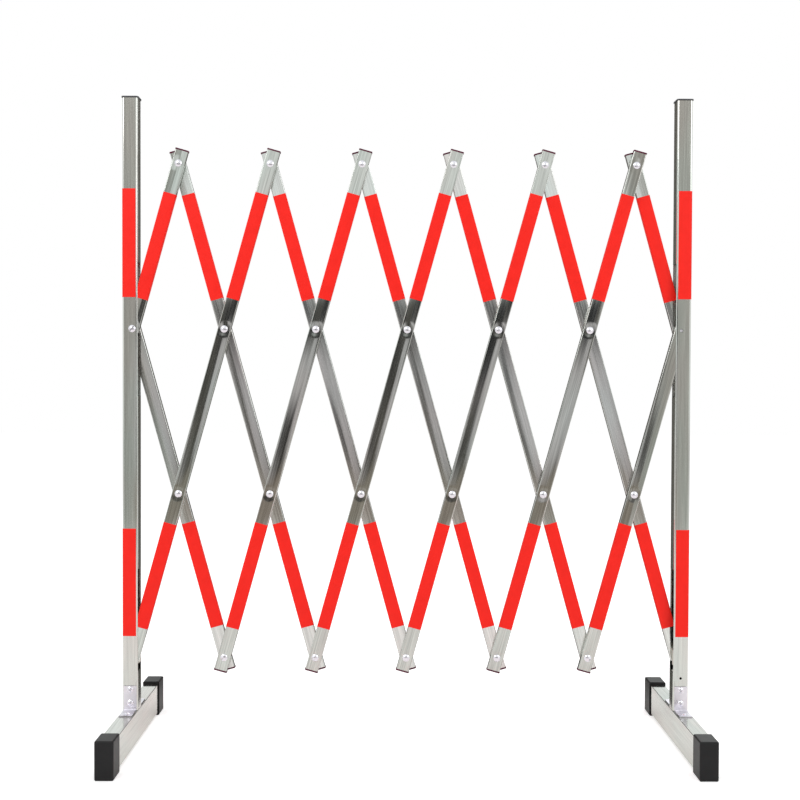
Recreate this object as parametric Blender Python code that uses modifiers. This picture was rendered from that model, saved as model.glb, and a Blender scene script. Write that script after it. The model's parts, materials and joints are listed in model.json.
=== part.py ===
"""Expandable safety barrier: a stainless steel lattice that folds between two posts on feet.

Lengths are in metres. X runs along the barrier, Y away from its front and Z up. The origin
is on the floor, midway between the posts. The lattice has two layers of struts. The front
ones lean to the right and the rear ones to the left, and rivets join them where they cross.
Columns of crossings count from the left post to the right one, and rows from the bottom up.
"""

import math

import bmesh
import bpy
from mathutils import Matrix, Vector

MM = 0.001

# Fits and cuts
SEAT_GAP = 0.3 * MM
PIN_GAP = 0.4 * MM
SLOT_SIDE_GAP = 0.8 * MM
SLOT_END_GAP = 3 * MM
UNION_LAP = 0.3 * MM
CUT_OVERRUN = 4 * MM

# Lattice
PIVOT_SPACING = 333 * MM
REST_ANGLE = math.radians(15.5)
FOLDED_ANGLE = math.radians(10.5)
OPEN_ANGLE = math.radians(41)
LAST_COLUMN = 12
BOTTOM, LOWER, UPPER, TOP = range(4)
HALF_PITCH = PIVOT_SPACING * math.sin(REST_ANGLE)
ROW_STEP = PIVOT_SPACING * math.cos(REST_ANGLE)

# Struts
STRUT_WIDTH = 25 * MM
STRUT_DEPTH = 12 * MM
STRUT_WALL = 1 * MM
STRUT_CORNER = 1.5 * MM
LAYER_GAP = 1.6 * MM
FREE_END = 25 * MM
POST_END = 5 * MM
STRUT_BAND = 212 * MM
PLUG_FLANGE = 1.2 * MM
PLUG_RIM = 0.5 * MM
PLUG_INSIDE = 8 * MM
FRONT, REAR = -1, 1
TAPED_ROWS = (BOTTOM, UPPER)
LAYER_OFFSET = (STRUT_DEPTH + LAYER_GAP) / 2
STACK_DEPTH = 2 * STRUT_DEPTH + LAYER_GAP

# Pins and rivets
PIN_DIAMETER = 6 * MM
PIN_HOLE = PIN_DIAMETER / 2 + PIN_GAP
RIVET_HEAD = 14 * MM
RIVET_RISE = 3 * MM
WASHER_DIAMETER = 12 * MM
WASHER_THICKNESS = 1 * MM
PIVOT_HEAD = 14 * MM
PIVOT_HEAD_RISE = 3.2 * MM

# Posts
POST_WIDTH = 30 * MM
POST_WALL = 1 * MM
POST_CORNER = 3 * MM
POST_CAVITY = POST_WIDTH - 2 * POST_WALL
POST_TOP = 1257 * MM
POST_BAND = 210 * MM
UPPER_BAND_RISE = 166 * MM
LOWER_BAND_DROP = 494 * MM
CAP_FLANGE = 3 * MM
CAP_RIM = 1.5 * MM
CAP_INSIDE = 14 * MM
PIVOT_INSET = 4 * MM
SPARE_HOLE_DIAMETER = 5 * MM
SPARE_HOLE_RISE = 64 * MM
SLOT_RISE = 77 * MM

# Feet
BEAM_WIDTH = POST_WIDTH
BEAM_HEIGHT = 60 * MM
BEAM_WALL = 1.2 * MM
BEAM_CORNER = 3 * MM
FOOT_LENGTH = 434 * MM
RUBBER_SOLE = 6 * MM
RUBBER_END = 6 * MM
RUBBER_SIDE = 2 * MM
RUBBER_ROOF = 5 * MM
RUBBER_LENGTH = 45 * MM
RUBBER_BEVEL = 3 * MM
RUBBER_BEVEL_STEPS = 2
RUBBER_ROUND_SHARE = 0.5
BEAM_BOTTOM = RUBBER_SOLE + SEAT_GAP
BEAM_TOP = BEAM_BOTTOM + BEAM_HEIGHT
BEAM_LENGTH = FOOT_LENGTH - 2 * (RUBBER_END + SEAT_GAP)
POST_BOTTOM = BEAM_TOP + SEAT_GAP
SLOT_BOTTOM = POST_BOTTOM + SLOT_RISE
PIVOT_HEIGHT = SLOT_BOTTOM + STRUT_WIDTH / 2 + 2 * PIVOT_SPACING * math.cos(FOLDED_ANGLE)

# Brackets and their bolts
BRACKET_WIDTH = 25 * MM
BRACKET_THICKNESS = 2 * MM
BRACKET_BEND = 3 * MM
BRACKET_RISE = 48 * MM
BRACKET_REACH = 42 * MM
BOLT_HEAD = 12 * MM
BOLT_HEAD_RISE = 2.6 * MM
NUT_WIDTH = 10 * MM
NUT_THICKNESS = 4 * MM
BOLT_END = 2 * MM
LOWER_BOLT_RISE = 15 * MM
UPPER_BOLT_SETBACK = 7 * MM
UPPER_BOLT_RISE = BRACKET_RISE - UPPER_BOLT_SETBACK
SCREW_DIAMETER = 5 * MM
SCREW_DEPTH = 10 * MM
SCREW_SETBACK = 14 * MM

# Slide blocks inside the posts
BLOCK_HEIGHT = 30 * MM
BLOCK_SIDE_GAP = 0.4 * MM
SLIDE_PIN_END_GAP = 0.4 * MM

# Facets and turns
QUARTER = math.radians(90)
HALF_TURN = math.radians(180)
ROUND_STEPS = 12
DOME_STEPS = 3
CORNER_STEPS = 3
STRUT_CORNER_STEPS = 2
NUT_SIDES = 6

# Each strut: layer, column and row of its lowest pivot, pivots, row it turns on, what carries it
STRUTS = {
    "rear_strut_01": (REAR, 2, BOTTOM, 3, UPPER, "left_frame"),
    "front_strut_01": (FRONT, 0, UPPER, 2, UPPER, "left_frame"),
    "front_strut_02": (FRONT, 0, BOTTOM, 4, LOWER, "rear_strut_01"),
    "front_strut_03": (FRONT, 2, BOTTOM, 4, BOTTOM, "rear_strut_01"),
    "rear_strut_02": (REAR, 4, BOTTOM, 4, UPPER, "front_strut_02"),
    "rear_strut_03": (REAR, 6, BOTTOM, 4, TOP, "front_strut_02"),
    "front_strut_04": (FRONT, 4, BOTTOM, 4, LOWER, "rear_strut_03"),
    "front_strut_05": (FRONT, 6, BOTTOM, 4, BOTTOM, "rear_strut_03"),
    "rear_strut_04": (REAR, 8, BOTTOM, 4, LOWER, "front_strut_05"),
    "rear_strut_05": (REAR, 10, BOTTOM, 4, UPPER, "front_strut_05"),
    "rear_strut_06": (REAR, 12, BOTTOM, 4, TOP, "front_strut_05"),
    "front_strut_06": (FRONT, 8, BOTTOM, 4, UPPER, "rear_strut_06"),
    "front_strut_07": (FRONT, 10, BOTTOM, 3, LOWER, "rear_strut_06"),
    "rear_strut_07": (REAR, 12, UPPER, 2, UPPER, "right_frame"),
}

# Colours: linear red, green and blue
STEEL = (0.55, 0.55, 0.53)
POLISHED = (0.68, 0.68, 0.66)
TAPE_RED = (0.95, 0.02, 0.015)
RUBBER_BLACK = (0.012, 0.012, 0.013)
CAP_BLACK = (0.03, 0.03, 0.032)
PLUG_PLUM = (0.09, 0.03, 0.045)
NYLON = (0.75, 0.73, 0.68)
WELD = 0.01 * MM
SHARP_ANGLE = math.radians(35)


def clear_scene():
    for item in list(bpy.data.objects):
        bpy.data.objects.remove(item, do_unlink=True)


def material(name, colour, roughness, metallic):
    made = bpy.data.materials.new(name)
    made.use_nodes = True
    shader = made.node_tree.nodes["Principled BSDF"]
    shader.inputs["Base Color"].default_value = (*colour, 1)
    shader.inputs["Roughness"].default_value = roughness
    shader.inputs["Metallic"].default_value = metallic
    return made


def shown(name, data, group=None):
    """A new object in a collection, or in the scene's own while it is being worked on."""
    made = bpy.data.objects.new(name, data)
    (group or bpy.context.scene.collection).objects.link(made)
    return made


def finished_mesh(thing):
    """A new mesh of the object as its modifiers leave it, welded and facing out."""
    view = bpy.context.evaluated_depsgraph_get()
    mesh = bpy.data.meshes.new_from_object(thing.evaluated_get(view))
    work = bmesh.new()
    work.from_mesh(mesh)
    bmesh.ops.remove_doubles(work, verts=work.verts, dist=WELD)
    bmesh.ops.recalc_face_normals(work, faces=work.faces)
    work.to_mesh(mesh)
    work.free()
    return mesh


def rounded_outline(width, depth, radius, steps):
    """Points of a rectangle with rounded corners about the origin, anticlockwise."""
    turns = [step / steps for step in range(steps + 1)] if radius > 0 else [0]
    points = []
    for quarter, (side, end) in enumerate(((1, 1), (-1, 1), (-1, -1), (1, -1))):
        for turn in turns:
            angle = QUARTER * (quarter + turn)
            x = side * (width / 2 - radius) + radius * math.cos(angle)
            y = end * (depth / 2 - radius) + radius * math.sin(angle)
            points.append((x, y))
    return points


def extruded(name, outlines, start, end):
    """A bar along Z with the closed outlines as its section."""
    curve = bpy.data.curves.new(name, "CURVE")
    curve.dimensions = "2D"
    curve.fill_mode = "BOTH"
    curve.extrude = (end - start) / 2
    for outline in outlines:
        spline = curve.splines.new("POLY")
        spline.points.add(len(outline) - 1)
        for point, (x, y) in zip(spline.points, outline):
            point.co = (x, y, 0, 1)
        spline.use_cyclic_u = True
    thing = shown(name, curve)
    mesh = finished_mesh(thing)
    mesh.transform(Matrix.Translation((0, 0, (start + end) / 2)))
    bpy.data.objects.remove(thing, do_unlink=True)
    return mesh


def turned(name, profile, steps):
    """A shape turned about Z from (radius, height) points that run down its outside."""
    outline = bpy.data.meshes.new(name)
    edges = [(n, n + 1) for n in range(len(profile) - 1)]
    outline.from_pydata([(radius, 0, height) for radius, height in profile], edges, [])
    thing = shown(name, outline)
    screw = thing.modifiers.new("turn", "SCREW")
    screw.axis = "Z"
    screw.steps = screw.render_steps = steps
    screw.use_merge_vertices = True
    screw.merge_threshold = WELD
    mesh = finished_mesh(thing)
    bpy.data.objects.remove(thing, do_unlink=True)
    return mesh


def box(name, low, high):
    work = bmesh.new()
    size = [b - a for a, b in zip(low, high)]
    middle = [(a + b) / 2 for a, b in zip(low, high)]
    where = Matrix.Translation(middle) @ Matrix.Diagonal((*size, 1))
    bmesh.ops.create_cube(work, size=1, matrix=where)
    mesh = bpy.data.meshes.new(name)
    work.to_mesh(mesh)
    work.free()
    return mesh


def rods(name, radius, length, middles, turn=0):
    """Parallel rods as one mesh: upright, or along Y with a quarter turn about X."""
    work = bmesh.new()
    for middle in middles:
        where = Matrix.Translation(middle) @ Matrix.Rotation(turn, 4, "X")
        bmesh.ops.create_cone(work, cap_ends=True, segments=ROUND_STEPS, radius1=radius,
                              radius2=radius, depth=length, matrix=where)
    mesh = bpy.data.meshes.new(name)
    work.to_mesh(mesh)
    work.free()
    return mesh


def shaped(mesh, joins=(), cuts=()):
    """A new mesh with the joins united to the given one and the cuts taken out of it."""
    body = shown(mesh.name, mesh)
    tools = []
    for operation, operands in (("UNION", joins), ("DIFFERENCE", cuts)):
        for operand in operands:
            tool = shown(operand.name, operand)
            tool.hide_render = True
            tool.display_type = "WIRE"
            step = body.modifiers.new(operand.name, "BOOLEAN")
            step.operation = operation
            step.object = tool
            tools.append(tool)
    made = finished_mesh(body)
    for item in (body, *tools):
        bpy.data.objects.remove(item, do_unlink=True)
    return made


def ringed(mesh, heights):
    """Adds an edge loop round the mesh at each height, so that a band can be coloured."""
    work = bmesh.new()
    work.from_mesh(mesh)
    for height in heights:
        everything = [*work.verts, *work.edges, *work.faces]
        bmesh.ops.bisect_plane(work, geom=everything, dist=WELD, plane_co=(0, 0, height),
                               plane_no=(0, 0, 1))
    work.to_mesh(mesh)
    work.free()


def faces_outward(face):
    return face.normal.x * face.center.x + face.normal.y * face.center.y > 0


def in_bands(face, bands):
    return any(low < face.center.z < high for low, high in bands)


def strut_plug(end, way):
    """An end plug as two meshes: its flange past the tube's end, and its body inside."""
    flange = rounded_outline(STRUT_WIDTH + 2 * PLUG_RIM, STRUT_DEPTH + 2 * PLUG_RIM,
                             STRUT_CORNER, STRUT_CORNER_STEPS)
    body = rounded_outline(STRUT_WIDTH - 2 * STRUT_WALL + 2 * UNION_LAP,
                           STRUT_DEPTH - 2 * STRUT_WALL + 2 * UNION_LAP, 0, 0)
    pieces = []
    for outline, near, far in ((flange, -UNION_LAP, PLUG_FLANGE), (body, -PLUG_INSIDE, 0)):
        ends = sorted((end + way * near, end + way * far))
        pieces.append(extruded("end_plug", [outline], *ends))
    return pieces


def strut_mesh(row, pivots, free_bottom, free_top):
    """A strut along Z with its lowest pivot, which is in the row, at the origin."""
    low = -(FREE_END if free_bottom else POST_END)
    high = (pivots - 1) * PIVOT_SPACING + (FREE_END if free_top else POST_END)
    outer = rounded_outline(STRUT_WIDTH, STRUT_DEPTH, STRUT_CORNER, STRUT_CORNER_STEPS)
    inner = rounded_outline(STRUT_WIDTH - 2 * STRUT_WALL, STRUT_DEPTH - 2 * STRUT_WALL, 0, 0)
    tube = extruded("strut", [outer, inner], low, high)
    joins = strut_plug(low, -1) if free_bottom else []
    joins += strut_plug(high, 1) if free_top else []
    heights = [step * PIVOT_SPACING for step in range(pivots)]
    holes = rods("rivet_holes", PIN_HOLE, STRUT_DEPTH + 2 * CUT_OVERRUN,
                 [(0, 0, height) for height in heights], QUARTER)
    mesh = shaped(tube, joins, [holes])
    bands = []
    for step, height in enumerate(heights[:-1]):
        if row + step in TAPED_ROWS:
            middle = height + PIVOT_SPACING / 2
            bands.append((middle - STRUT_BAND / 2, middle + STRUT_BAND / 2))
    ringed(mesh, [height for band in bands for height in band])
    for face in mesh.polygons:
        if faces_outward(face) and in_bands(face, bands):
            face.material_index = 1
        if not low < face.center.z < high:
            face.material_index = 2
    return mesh


def dome(diameter, rise):
    """Points down a domed head from its crown to its rim: radius and height over its seat."""
    ball = ((diameter / 2) ** 2 + rise ** 2) / (2 * rise)
    rim = math.asin(diameter / 2 / ball)
    angles = [rim * step / DOME_STEPS for step in range(DOME_STEPS + 1)]
    return [(ball * math.sin(angle), rise - ball * (1 - math.cos(angle))) for angle in angles]


def pin_profile(reach, head=(), washer=None, tail=0):
    """Half the section of a pin from its front end down: reach is half of what it clasps."""
    shank = PIN_DIAMETER / 2
    ends = [(radius, reach + height) for radius, height in head] or [(0, reach)]
    ends.append((shank, reach))
    middle = []
    if washer:
        half = WASHER_THICKNESS / 2
        middle = [(shank, half), (washer, half), (washer, -half), (shank, -half)]
    if tail:
        return ends + middle + [(shank, -reach - tail), (0, -reach - tail)]
    return ends + middle + [(radius, -height) for radius, height in reversed(ends)]


def across(mesh):
    """Lays a turned piece along Y with its head to the front."""
    mesh.transform(Matrix.Rotation(QUARTER, 4, "X"))
    return mesh


def rivet_mesh():
    profile = pin_profile(STACK_DEPTH / 2 + SEAT_GAP, dome(RIVET_HEAD, RIVET_RISE),
                          WASHER_DIAMETER / 2)
    return across(turned("rivet", profile, ROUND_STEPS))


def bolt_mesh(name, reach, head, washer=None):
    """A headed bolt with a hexagon nut behind, run together with its threads."""
    tail = NUT_THICKNESS + BOLT_END
    profile = pin_profile(reach, head, washer, tail)
    nut_radius = NUT_WIDTH / 2 / math.cos(HALF_TURN / NUT_SIDES)
    corners = [2 * HALF_TURN * side / NUT_SIDES for side in range(NUT_SIDES)]
    outline = [(nut_radius * math.cos(a), nut_radius * math.sin(a)) for a in corners]
    nut = extruded("nut", [outline], -reach - NUT_THICKNESS, -reach)
    return across(shaped(turned(name, profile, ROUND_STEPS), [nut]))


def plain_pin_mesh(name, reach):
    return across(turned(name, pin_profile(reach, washer=WASHER_DIAMETER / 2), ROUND_STEPS))


def crossing(angle):
    """How far from its pivot a strut's outer edge leaves a post, up or down the wall."""
    return (POST_WIDTH / 2 - PIVOT_INSET + STRUT_WIDTH / 2 / math.cos(angle)) / math.tan(angle)


def post_mesh(inward, spare_hole):
    """A post upright on its foot, seen from the floor. Inward is the sign of the lattice side."""
    inside = POST_CORNER - POST_WALL
    outer = rounded_outline(POST_WIDTH, POST_WIDTH, POST_CORNER, CORNER_STEPS)
    inner = rounded_outline(POST_CAVITY, POST_CAVITY, inside, CORNER_STEPS)
    tube = extruded("post", [outer, inner], POST_BOTTOM, POST_TOP)
    window = crossing(FOLDED_ANGLE) + SLOT_END_GAP
    slide = {angle: PIVOT_HEIGHT - 2 * PIVOT_SPACING * math.cos(angle)
             for angle in (FOLDED_ANGLE, OPEN_ANGLE)}
    slot_top = max(pin + crossing(angle) for angle, pin in slide.items()) + SLOT_END_GAP
    half = STACK_DEPTH / 2 + SLOT_SIDE_GAP
    reach = inward * (POST_WIDTH / 2 + CUT_OVERRUN)
    cuts = []
    for low, high in ((PIVOT_HEIGHT - window, PIVOT_HEIGHT + window), (SLOT_BOTTOM, slot_top)):
        cuts.append(box("opening", (min(0, reach), -half, low), (max(0, reach), half, high)))
    middles = [(0, 0, POST_BOTTOM + rise) for rise in (LOWER_BOLT_RISE, UPPER_BOLT_RISE)]
    middles.append((inward * PIVOT_INSET, 0, PIVOT_HEIGHT))
    cuts.append(rods("pin_holes", PIN_HOLE, POST_WIDTH + 2 * CUT_OVERRUN, middles, QUARTER))
    if spare_hole:
        middle = (0, -POST_WIDTH / 2, POST_BOTTOM + SPARE_HOLE_RISE)
        cuts.append(rods("spare_hole", SPARE_HOLE_DIAMETER / 2, 2 * CUT_OVERRUN, [middle],
                         QUARTER))
    mesh = shaped(tube, cuts=cuts)
    bands = [(middle - POST_BAND / 2, middle + POST_BAND / 2)
             for middle in (PIVOT_HEIGHT - LOWER_BAND_DROP, PIVOT_HEIGHT + UPPER_BAND_RISE)]
    ringed(mesh, [height for band in bands for height in band])
    for face in mesh.polygons:
        wrapped = face.center.x * inward < POST_WIDTH / 2 - POST_CORNER
        if wrapped and faces_outward(face) and in_bands(face, bands):
            face.material_index = 1
    return mesh


def post_cap_mesh():
    seat = POST_TOP + SEAT_GAP
    width = POST_WIDTH + 2 * CAP_RIM
    inside = POST_CAVITY - 2 * SEAT_GAP
    flange = rounded_outline(width, width, POST_CORNER, CORNER_STEPS)
    body = rounded_outline(inside, inside, POST_CORNER - POST_WALL, CORNER_STEPS)
    stopper = extruded("cap_stopper", [body], POST_TOP - CAP_INSIDE, seat + UNION_LAP)
    return shaped(extruded("post_cap", [flange], seat, seat + CAP_FLANGE), [stopper])


def screw_place():
    """Where a bracket's screw enters the beam, from the post's middle."""
    return POST_WIDTH / 2 + SEAT_GAP + BRACKET_REACH - SCREW_SETBACK


def beam_mesh():
    inside = BEAM_CORNER - BEAM_WALL
    outer = rounded_outline(BEAM_WIDTH, BEAM_HEIGHT, BEAM_CORNER, CORNER_STEPS)
    inner = rounded_outline(BEAM_WIDTH - 2 * BEAM_WALL, BEAM_HEIGHT - 2 * BEAM_WALL, inside,
                            CORNER_STEPS)
    tube = extruded("foot_beam", [outer, inner], -BEAM_LENGTH / 2, BEAM_LENGTH / 2)
    middle = Matrix.Translation((0, 0, BEAM_BOTTOM + BEAM_HEIGHT / 2))
    tube.transform(middle @ Matrix.Rotation(QUARTER, 4, "X"))
    places = [(0, way * screw_place(), BEAM_TOP) for way in (-1, 1)]
    holes = rods("screw_holes", SCREW_DIAMETER / 2 + PIN_GAP, 2 * CUT_OVERRUN, places)
    return shaped(tube, cuts=[holes])


def rubber_foot_mesh():
    """A rubber cap over the rear end of a beam, bevelled everywhere but at its mouth."""
    mouth = FOOT_LENGTH / 2 - RUBBER_LENGTH
    half = BEAM_WIDTH / 2 + SEAT_GAP
    roof = BEAM_TOP + SEAT_GAP
    block = box("rubber_foot", (-half - RUBBER_SIDE, mouth, 0),
                (half + RUBBER_SIDE, FOOT_LENGTH / 2, roof + RUBBER_ROOF))
    work = bmesh.new()
    work.from_mesh(block)
    edges = [edge for edge in work.edges if any(v.co.y > mouth + WELD for v in edge.verts)]
    bmesh.ops.bevel(work, geom=edges, offset=RUBBER_BEVEL, offset_type="OFFSET",
                    segments=RUBBER_BEVEL_STEPS, profile=RUBBER_ROUND_SHARE, affect="EDGES")
    work.to_mesh(block)
    work.free()
    pocket = box("beam_pocket", (-half, mouth - CUT_OVERRUN, RUBBER_SOLE),
                 (half, FOOT_LENGTH / 2 - RUBBER_END, roof))
    return shaped(block, cuts=[pocket])


def bracket_mesh():
    """The rear bracket: a bent strip up the post and along the beam, with its screw."""
    face = POST_WIDTH / 2 + SEAT_GAP
    floor = BEAM_TOP + SEAT_GAP
    centre = (face + BRACKET_BEND, floor + BRACKET_BEND)
    outline = [(face, floor + BRACKET_RISE)]
    turns = [HALF_TURN + QUARTER * step / CORNER_STEPS for step in range(CORNER_STEPS + 1)]
    for turn in turns:
        outline.append((centre[0] + BRACKET_BEND * math.cos(turn),
                        centre[1] + BRACKET_BEND * math.sin(turn)))
    outline += [(face + BRACKET_REACH, floor), (face + BRACKET_REACH, floor + BRACKET_THICKNESS)]
    inside = BRACKET_BEND - BRACKET_THICKNESS
    for turn in reversed(turns):
        outline.append((centre[0] + inside * math.cos(turn),
                        centre[1] + inside * math.sin(turn)))
    outline.append((face + BRACKET_THICKNESS, floor + BRACKET_RISE))
    strip = extruded("bracket", [outline], -BRACKET_WIDTH / 2, BRACKET_WIDTH / 2)
    strip.transform(Matrix(((0, 0, 1, 0), (1, 0, 0, 0), (0, 1, 0, 0), (0, 0, 0, 1))))
    seat = floor + BRACKET_THICKNESS - UNION_LAP
    profile = [(radius, seat + height) for radius, height in dome(BOLT_HEAD, BOLT_HEAD_RISE)]
    profile += [(SCREW_DIAMETER / 2, seat), (SCREW_DIAMETER / 2, floor - SCREW_DEPTH),
                (0, floor - SCREW_DEPTH)]
    screw = turned("bracket_screw", profile, ROUND_STEPS)
    screw.transform(Matrix.Translation((0, screw_place(), 0)))
    middles = [(0, face, POST_BOTTOM + rise) for rise in (LOWER_BOLT_RISE, UPPER_BOLT_RISE)]
    holes = rods("bolt_holes", PIN_HOLE, 2 * CUT_OVERRUN, middles, QUARTER)
    return shaped(strip, [screw], [holes])


def block_mesh(side, layer):
    """A slide block, from its pin, in the half of the post that its strut leaves free."""
    width = POST_CAVITY - 2 * BLOCK_SIDE_GAP
    near = LAYER_GAP / 2
    far = POST_CAVITY / 2 - BLOCK_SIDE_GAP
    outline = rounded_outline(width, far - near, POST_CORNER - POST_WALL, CORNER_STEPS)
    block = extruded("slide_block", [outline], -BLOCK_HEIGHT / 2, BLOCK_HEIGHT / 2)
    block.transform(Matrix.Translation((side * PIVOT_INSET, layer * (near + far) / 2, 0)))
    hole = rods("pin_hole", PIN_HOLE, 2 * POST_WIDTH, [(0, 0, 0)], QUARTER)
    return shaped(block, cuts=[hole])


def pivot_place(column, row):
    """World place of a crossing, midway between the layers."""
    return Vector(((column - LAST_COLUMN / 2) * HALF_PITCH, 0,
                   PIVOT_HEIGHT + (row - UPPER) * ROW_STEP))


def carrier(name, place, parent, lean=0):
    """An empty on a joint's axis that its pieces hang from."""
    made = shown(name, None)
    made.location = place
    made.rotation_euler.y = lean
    if parent:
        bpy.context.view_layer.update()
        made.parent = parent
        made.matrix_parent_inverse = parent.matrix_world.inverted()
    return made


def placed(name, mesh, group, parent, place, turn=0):
    """A named piece on its carrier, at a place given from the carrier's own axes."""
    made = shown(name, mesh, group)
    made.parent = parent
    made.location = place
    made.rotation_euler.z = turn
    return made


def finish_surface(mesh, *finishes):
    mesh.materials.clear()
    for finish in finishes:
        mesh.materials.append(finish)
    mesh.shade_smooth()
    mesh.set_sharp_from_angle(angle=SHARP_ANGLE)
    return mesh


def build_frame(side, carried, group, finishes):
    """A post with its cap, foot, brackets and bolts, under the carrier at its fixed pivot."""
    name = "left" if side < 0 else "right"
    middle = side * PIVOT_INSET
    down = (middle, 0, -PIVOT_HEIGHT)
    post = finish_surface(post_mesh(-side, spare_hole=side > 0), finishes["satin"],
                          finishes["tape"])
    placed(f"{name}_post", post, group, carried, down)
    placed(f"{name}_post_cap", finishes["cap_mesh"], group, carried, down)
    placed(f"{name}_foot_beam", finishes["beam_mesh"], group, carried, down)
    for end, turn in (("front", HALF_TURN), ("rear", 0)):
        placed(f"{name}_{end}_rubber_foot", finishes["rubber_mesh"], group, carried, down, turn)
        placed(f"{name}_{end}_bracket", finishes["bracket_mesh"], group, carried, down, turn)
    for level, rise in (("lower", LOWER_BOLT_RISE), ("upper", UPPER_BOLT_RISE)):
        place = (middle, 0, POST_BOTTOM + rise - PIVOT_HEIGHT)
        placed(f"{name}_{level}_foot_bolt", finishes["foot_bolt_mesh"], group, carried, place)


def frame_meshes(finishes):
    """Meshes that both frames share, each with its finish."""
    bracket_reach = POST_WIDTH / 2 + 2 * SEAT_GAP + BRACKET_THICKNESS
    finishes["cap_mesh"] = finish_surface(post_cap_mesh(), finishes["cap"])
    finishes["beam_mesh"] = finish_surface(beam_mesh(), finishes["satin"])
    finishes["rubber_mesh"] = finish_surface(rubber_foot_mesh(), finishes["rubber"])
    finishes["bracket_mesh"] = finish_surface(bracket_mesh(), finishes["polished"])
    foot_bolt = bolt_mesh("foot_bolt", bracket_reach, dome(BOLT_HEAD, BOLT_HEAD_RISE))
    finishes["foot_bolt_mesh"] = finish_surface(foot_bolt, finishes["polished"])


def end_column(layer, column, rows):
    """The column that a strut reaches after so many rows: front ones go right, rear ones left."""
    return column - layer * rows


def build():
    clear_scene()
    group = bpy.data.collections.new("expandable_safety_barrier")
    bpy.context.scene.collection.children.link(group)
    finishes = {
        "satin": material("satin_stainless", STEEL, 0.35, 1),
        "polished": material("polished_stainless", POLISHED, 0.2, 1),
        "tape": material("red_tape", TAPE_RED, 0.4, 0),
        "rubber": material("black_rubber", RUBBER_BLACK, 0.6, 0),
        "cap": material("black_plastic", CAP_BLACK, 0.45, 0),
        "plug": material("plum_plastic", PLUG_PLUM, 0.45, 0),
        "nylon": material("nylon", NYLON, 0.5, 0),
    }
    frame_meshes(finishes)
    carriers = {"left_frame": carrier("left_frame", pivot_place(0, UPPER), None)}
    build_frame(-1, carriers["left_frame"], group, finishes)
    strut_meshes = {}
    front_at = {}
    for name, (layer, column, row, pivots, joint_row, parent) in STRUTS.items():
        if parent == "right_frame":
            place = pivot_place(LAST_COLUMN, UPPER)
            carriers[parent] = carrier(parent, place, carriers["front_strut_07"])
            build_frame(1, carriers[parent], group, finishes)
        top_column = end_column(layer, column, pivots - 1)
        ends_free = [end not in (0, LAST_COLUMN) for end in (column, top_column)]
        kind = (row, pivots, *ends_free)
        if kind not in strut_meshes:
            strut_meshes[kind] = finish_surface(strut_mesh(*kind), finishes["polished"],
                                                finishes["tape"], finishes["plug"])
        up = joint_row - row
        joint = pivot_place(end_column(layer, column, up), joint_row)
        carriers[name] = carrier(f"{name}_pivot", joint, carriers[parent], -layer * REST_ANGLE)
        offset = (0, layer * LAYER_OFFSET, -up * PIVOT_SPACING)
        placed(name, strut_meshes[kind], group, carriers[name], offset)
        if layer == FRONT:
            for step in range(pivots):
                front_at[end_column(layer, column, step), row + step] = (name, step - up)
    rivet = finish_surface(rivet_mesh(), finishes["polished"])
    labels = {BOTTOM: "bottom", LOWER: "lower", UPPER: "upper", TOP: "top"}
    counts = dict.fromkeys(labels, 0)
    for (column, row), (name, step) in sorted(front_at.items()):
        if column in (0, LAST_COLUMN):
            continue
        counts[row] += 1
        placed(f"{labels[row]}_rivet_{counts[row]}", rivet, group, carriers[name],
               (0, 0, step * PIVOT_SPACING))
    bolt = bolt_mesh("pivot_bolt", POST_WIDTH / 2 + SEAT_GAP, dome(PIVOT_HEAD, PIVOT_HEAD_RISE),
                     WASHER_DIAMETER / 2)
    placed("left_pivot_bolt", finish_surface(bolt, finishes["polished"]), group,
           carriers["left_frame"], (0, 0, 0))
    flush = plain_pin_mesh("flush_pin", POST_WIDTH / 2)
    placed("right_pivot_pin", finish_surface(flush, finishes["satin"]), group,
           carriers["right_frame"], (0, 0, 0))
    slide_pin = plain_pin_mesh("slide_pin", POST_CAVITY / 2 - SLIDE_PIN_END_GAP)
    finish_surface(slide_pin, finishes["satin"])
    for side, name, column, strut, layer in (
            (-1, "left_slide", 0, "front_strut_02", REAR),
            (1, "right_slide", LAST_COLUMN, "rear_strut_06", FRONT)):
        slide = carrier(name, pivot_place(column, BOTTOM), carriers[strut])
        placed(f"{name}_pin", slide_pin, group, slide, (0, 0, 0))
        block = finish_surface(block_mesh(side, layer), finishes["nylon"])
        placed(f"{name}_block", block, group, slide, (0, 0, 0))


build()
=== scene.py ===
"""The finished look of an expandable safety barrier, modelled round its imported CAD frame.

Lengths are in metres: X runs along the barrier, Y away from its front and Z up. The lattice has
a front layer of struts that lean to the right and a rear layer that lean to the left. Columns of
crossings count from the left post and rows from the bottom up, both from nought.
"""

import json
import math

import bmesh
import bpy
from bpy.props import FloatProperty, FloatVectorProperty, PointerProperty
from mathutils import Matrix, Vector


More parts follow.
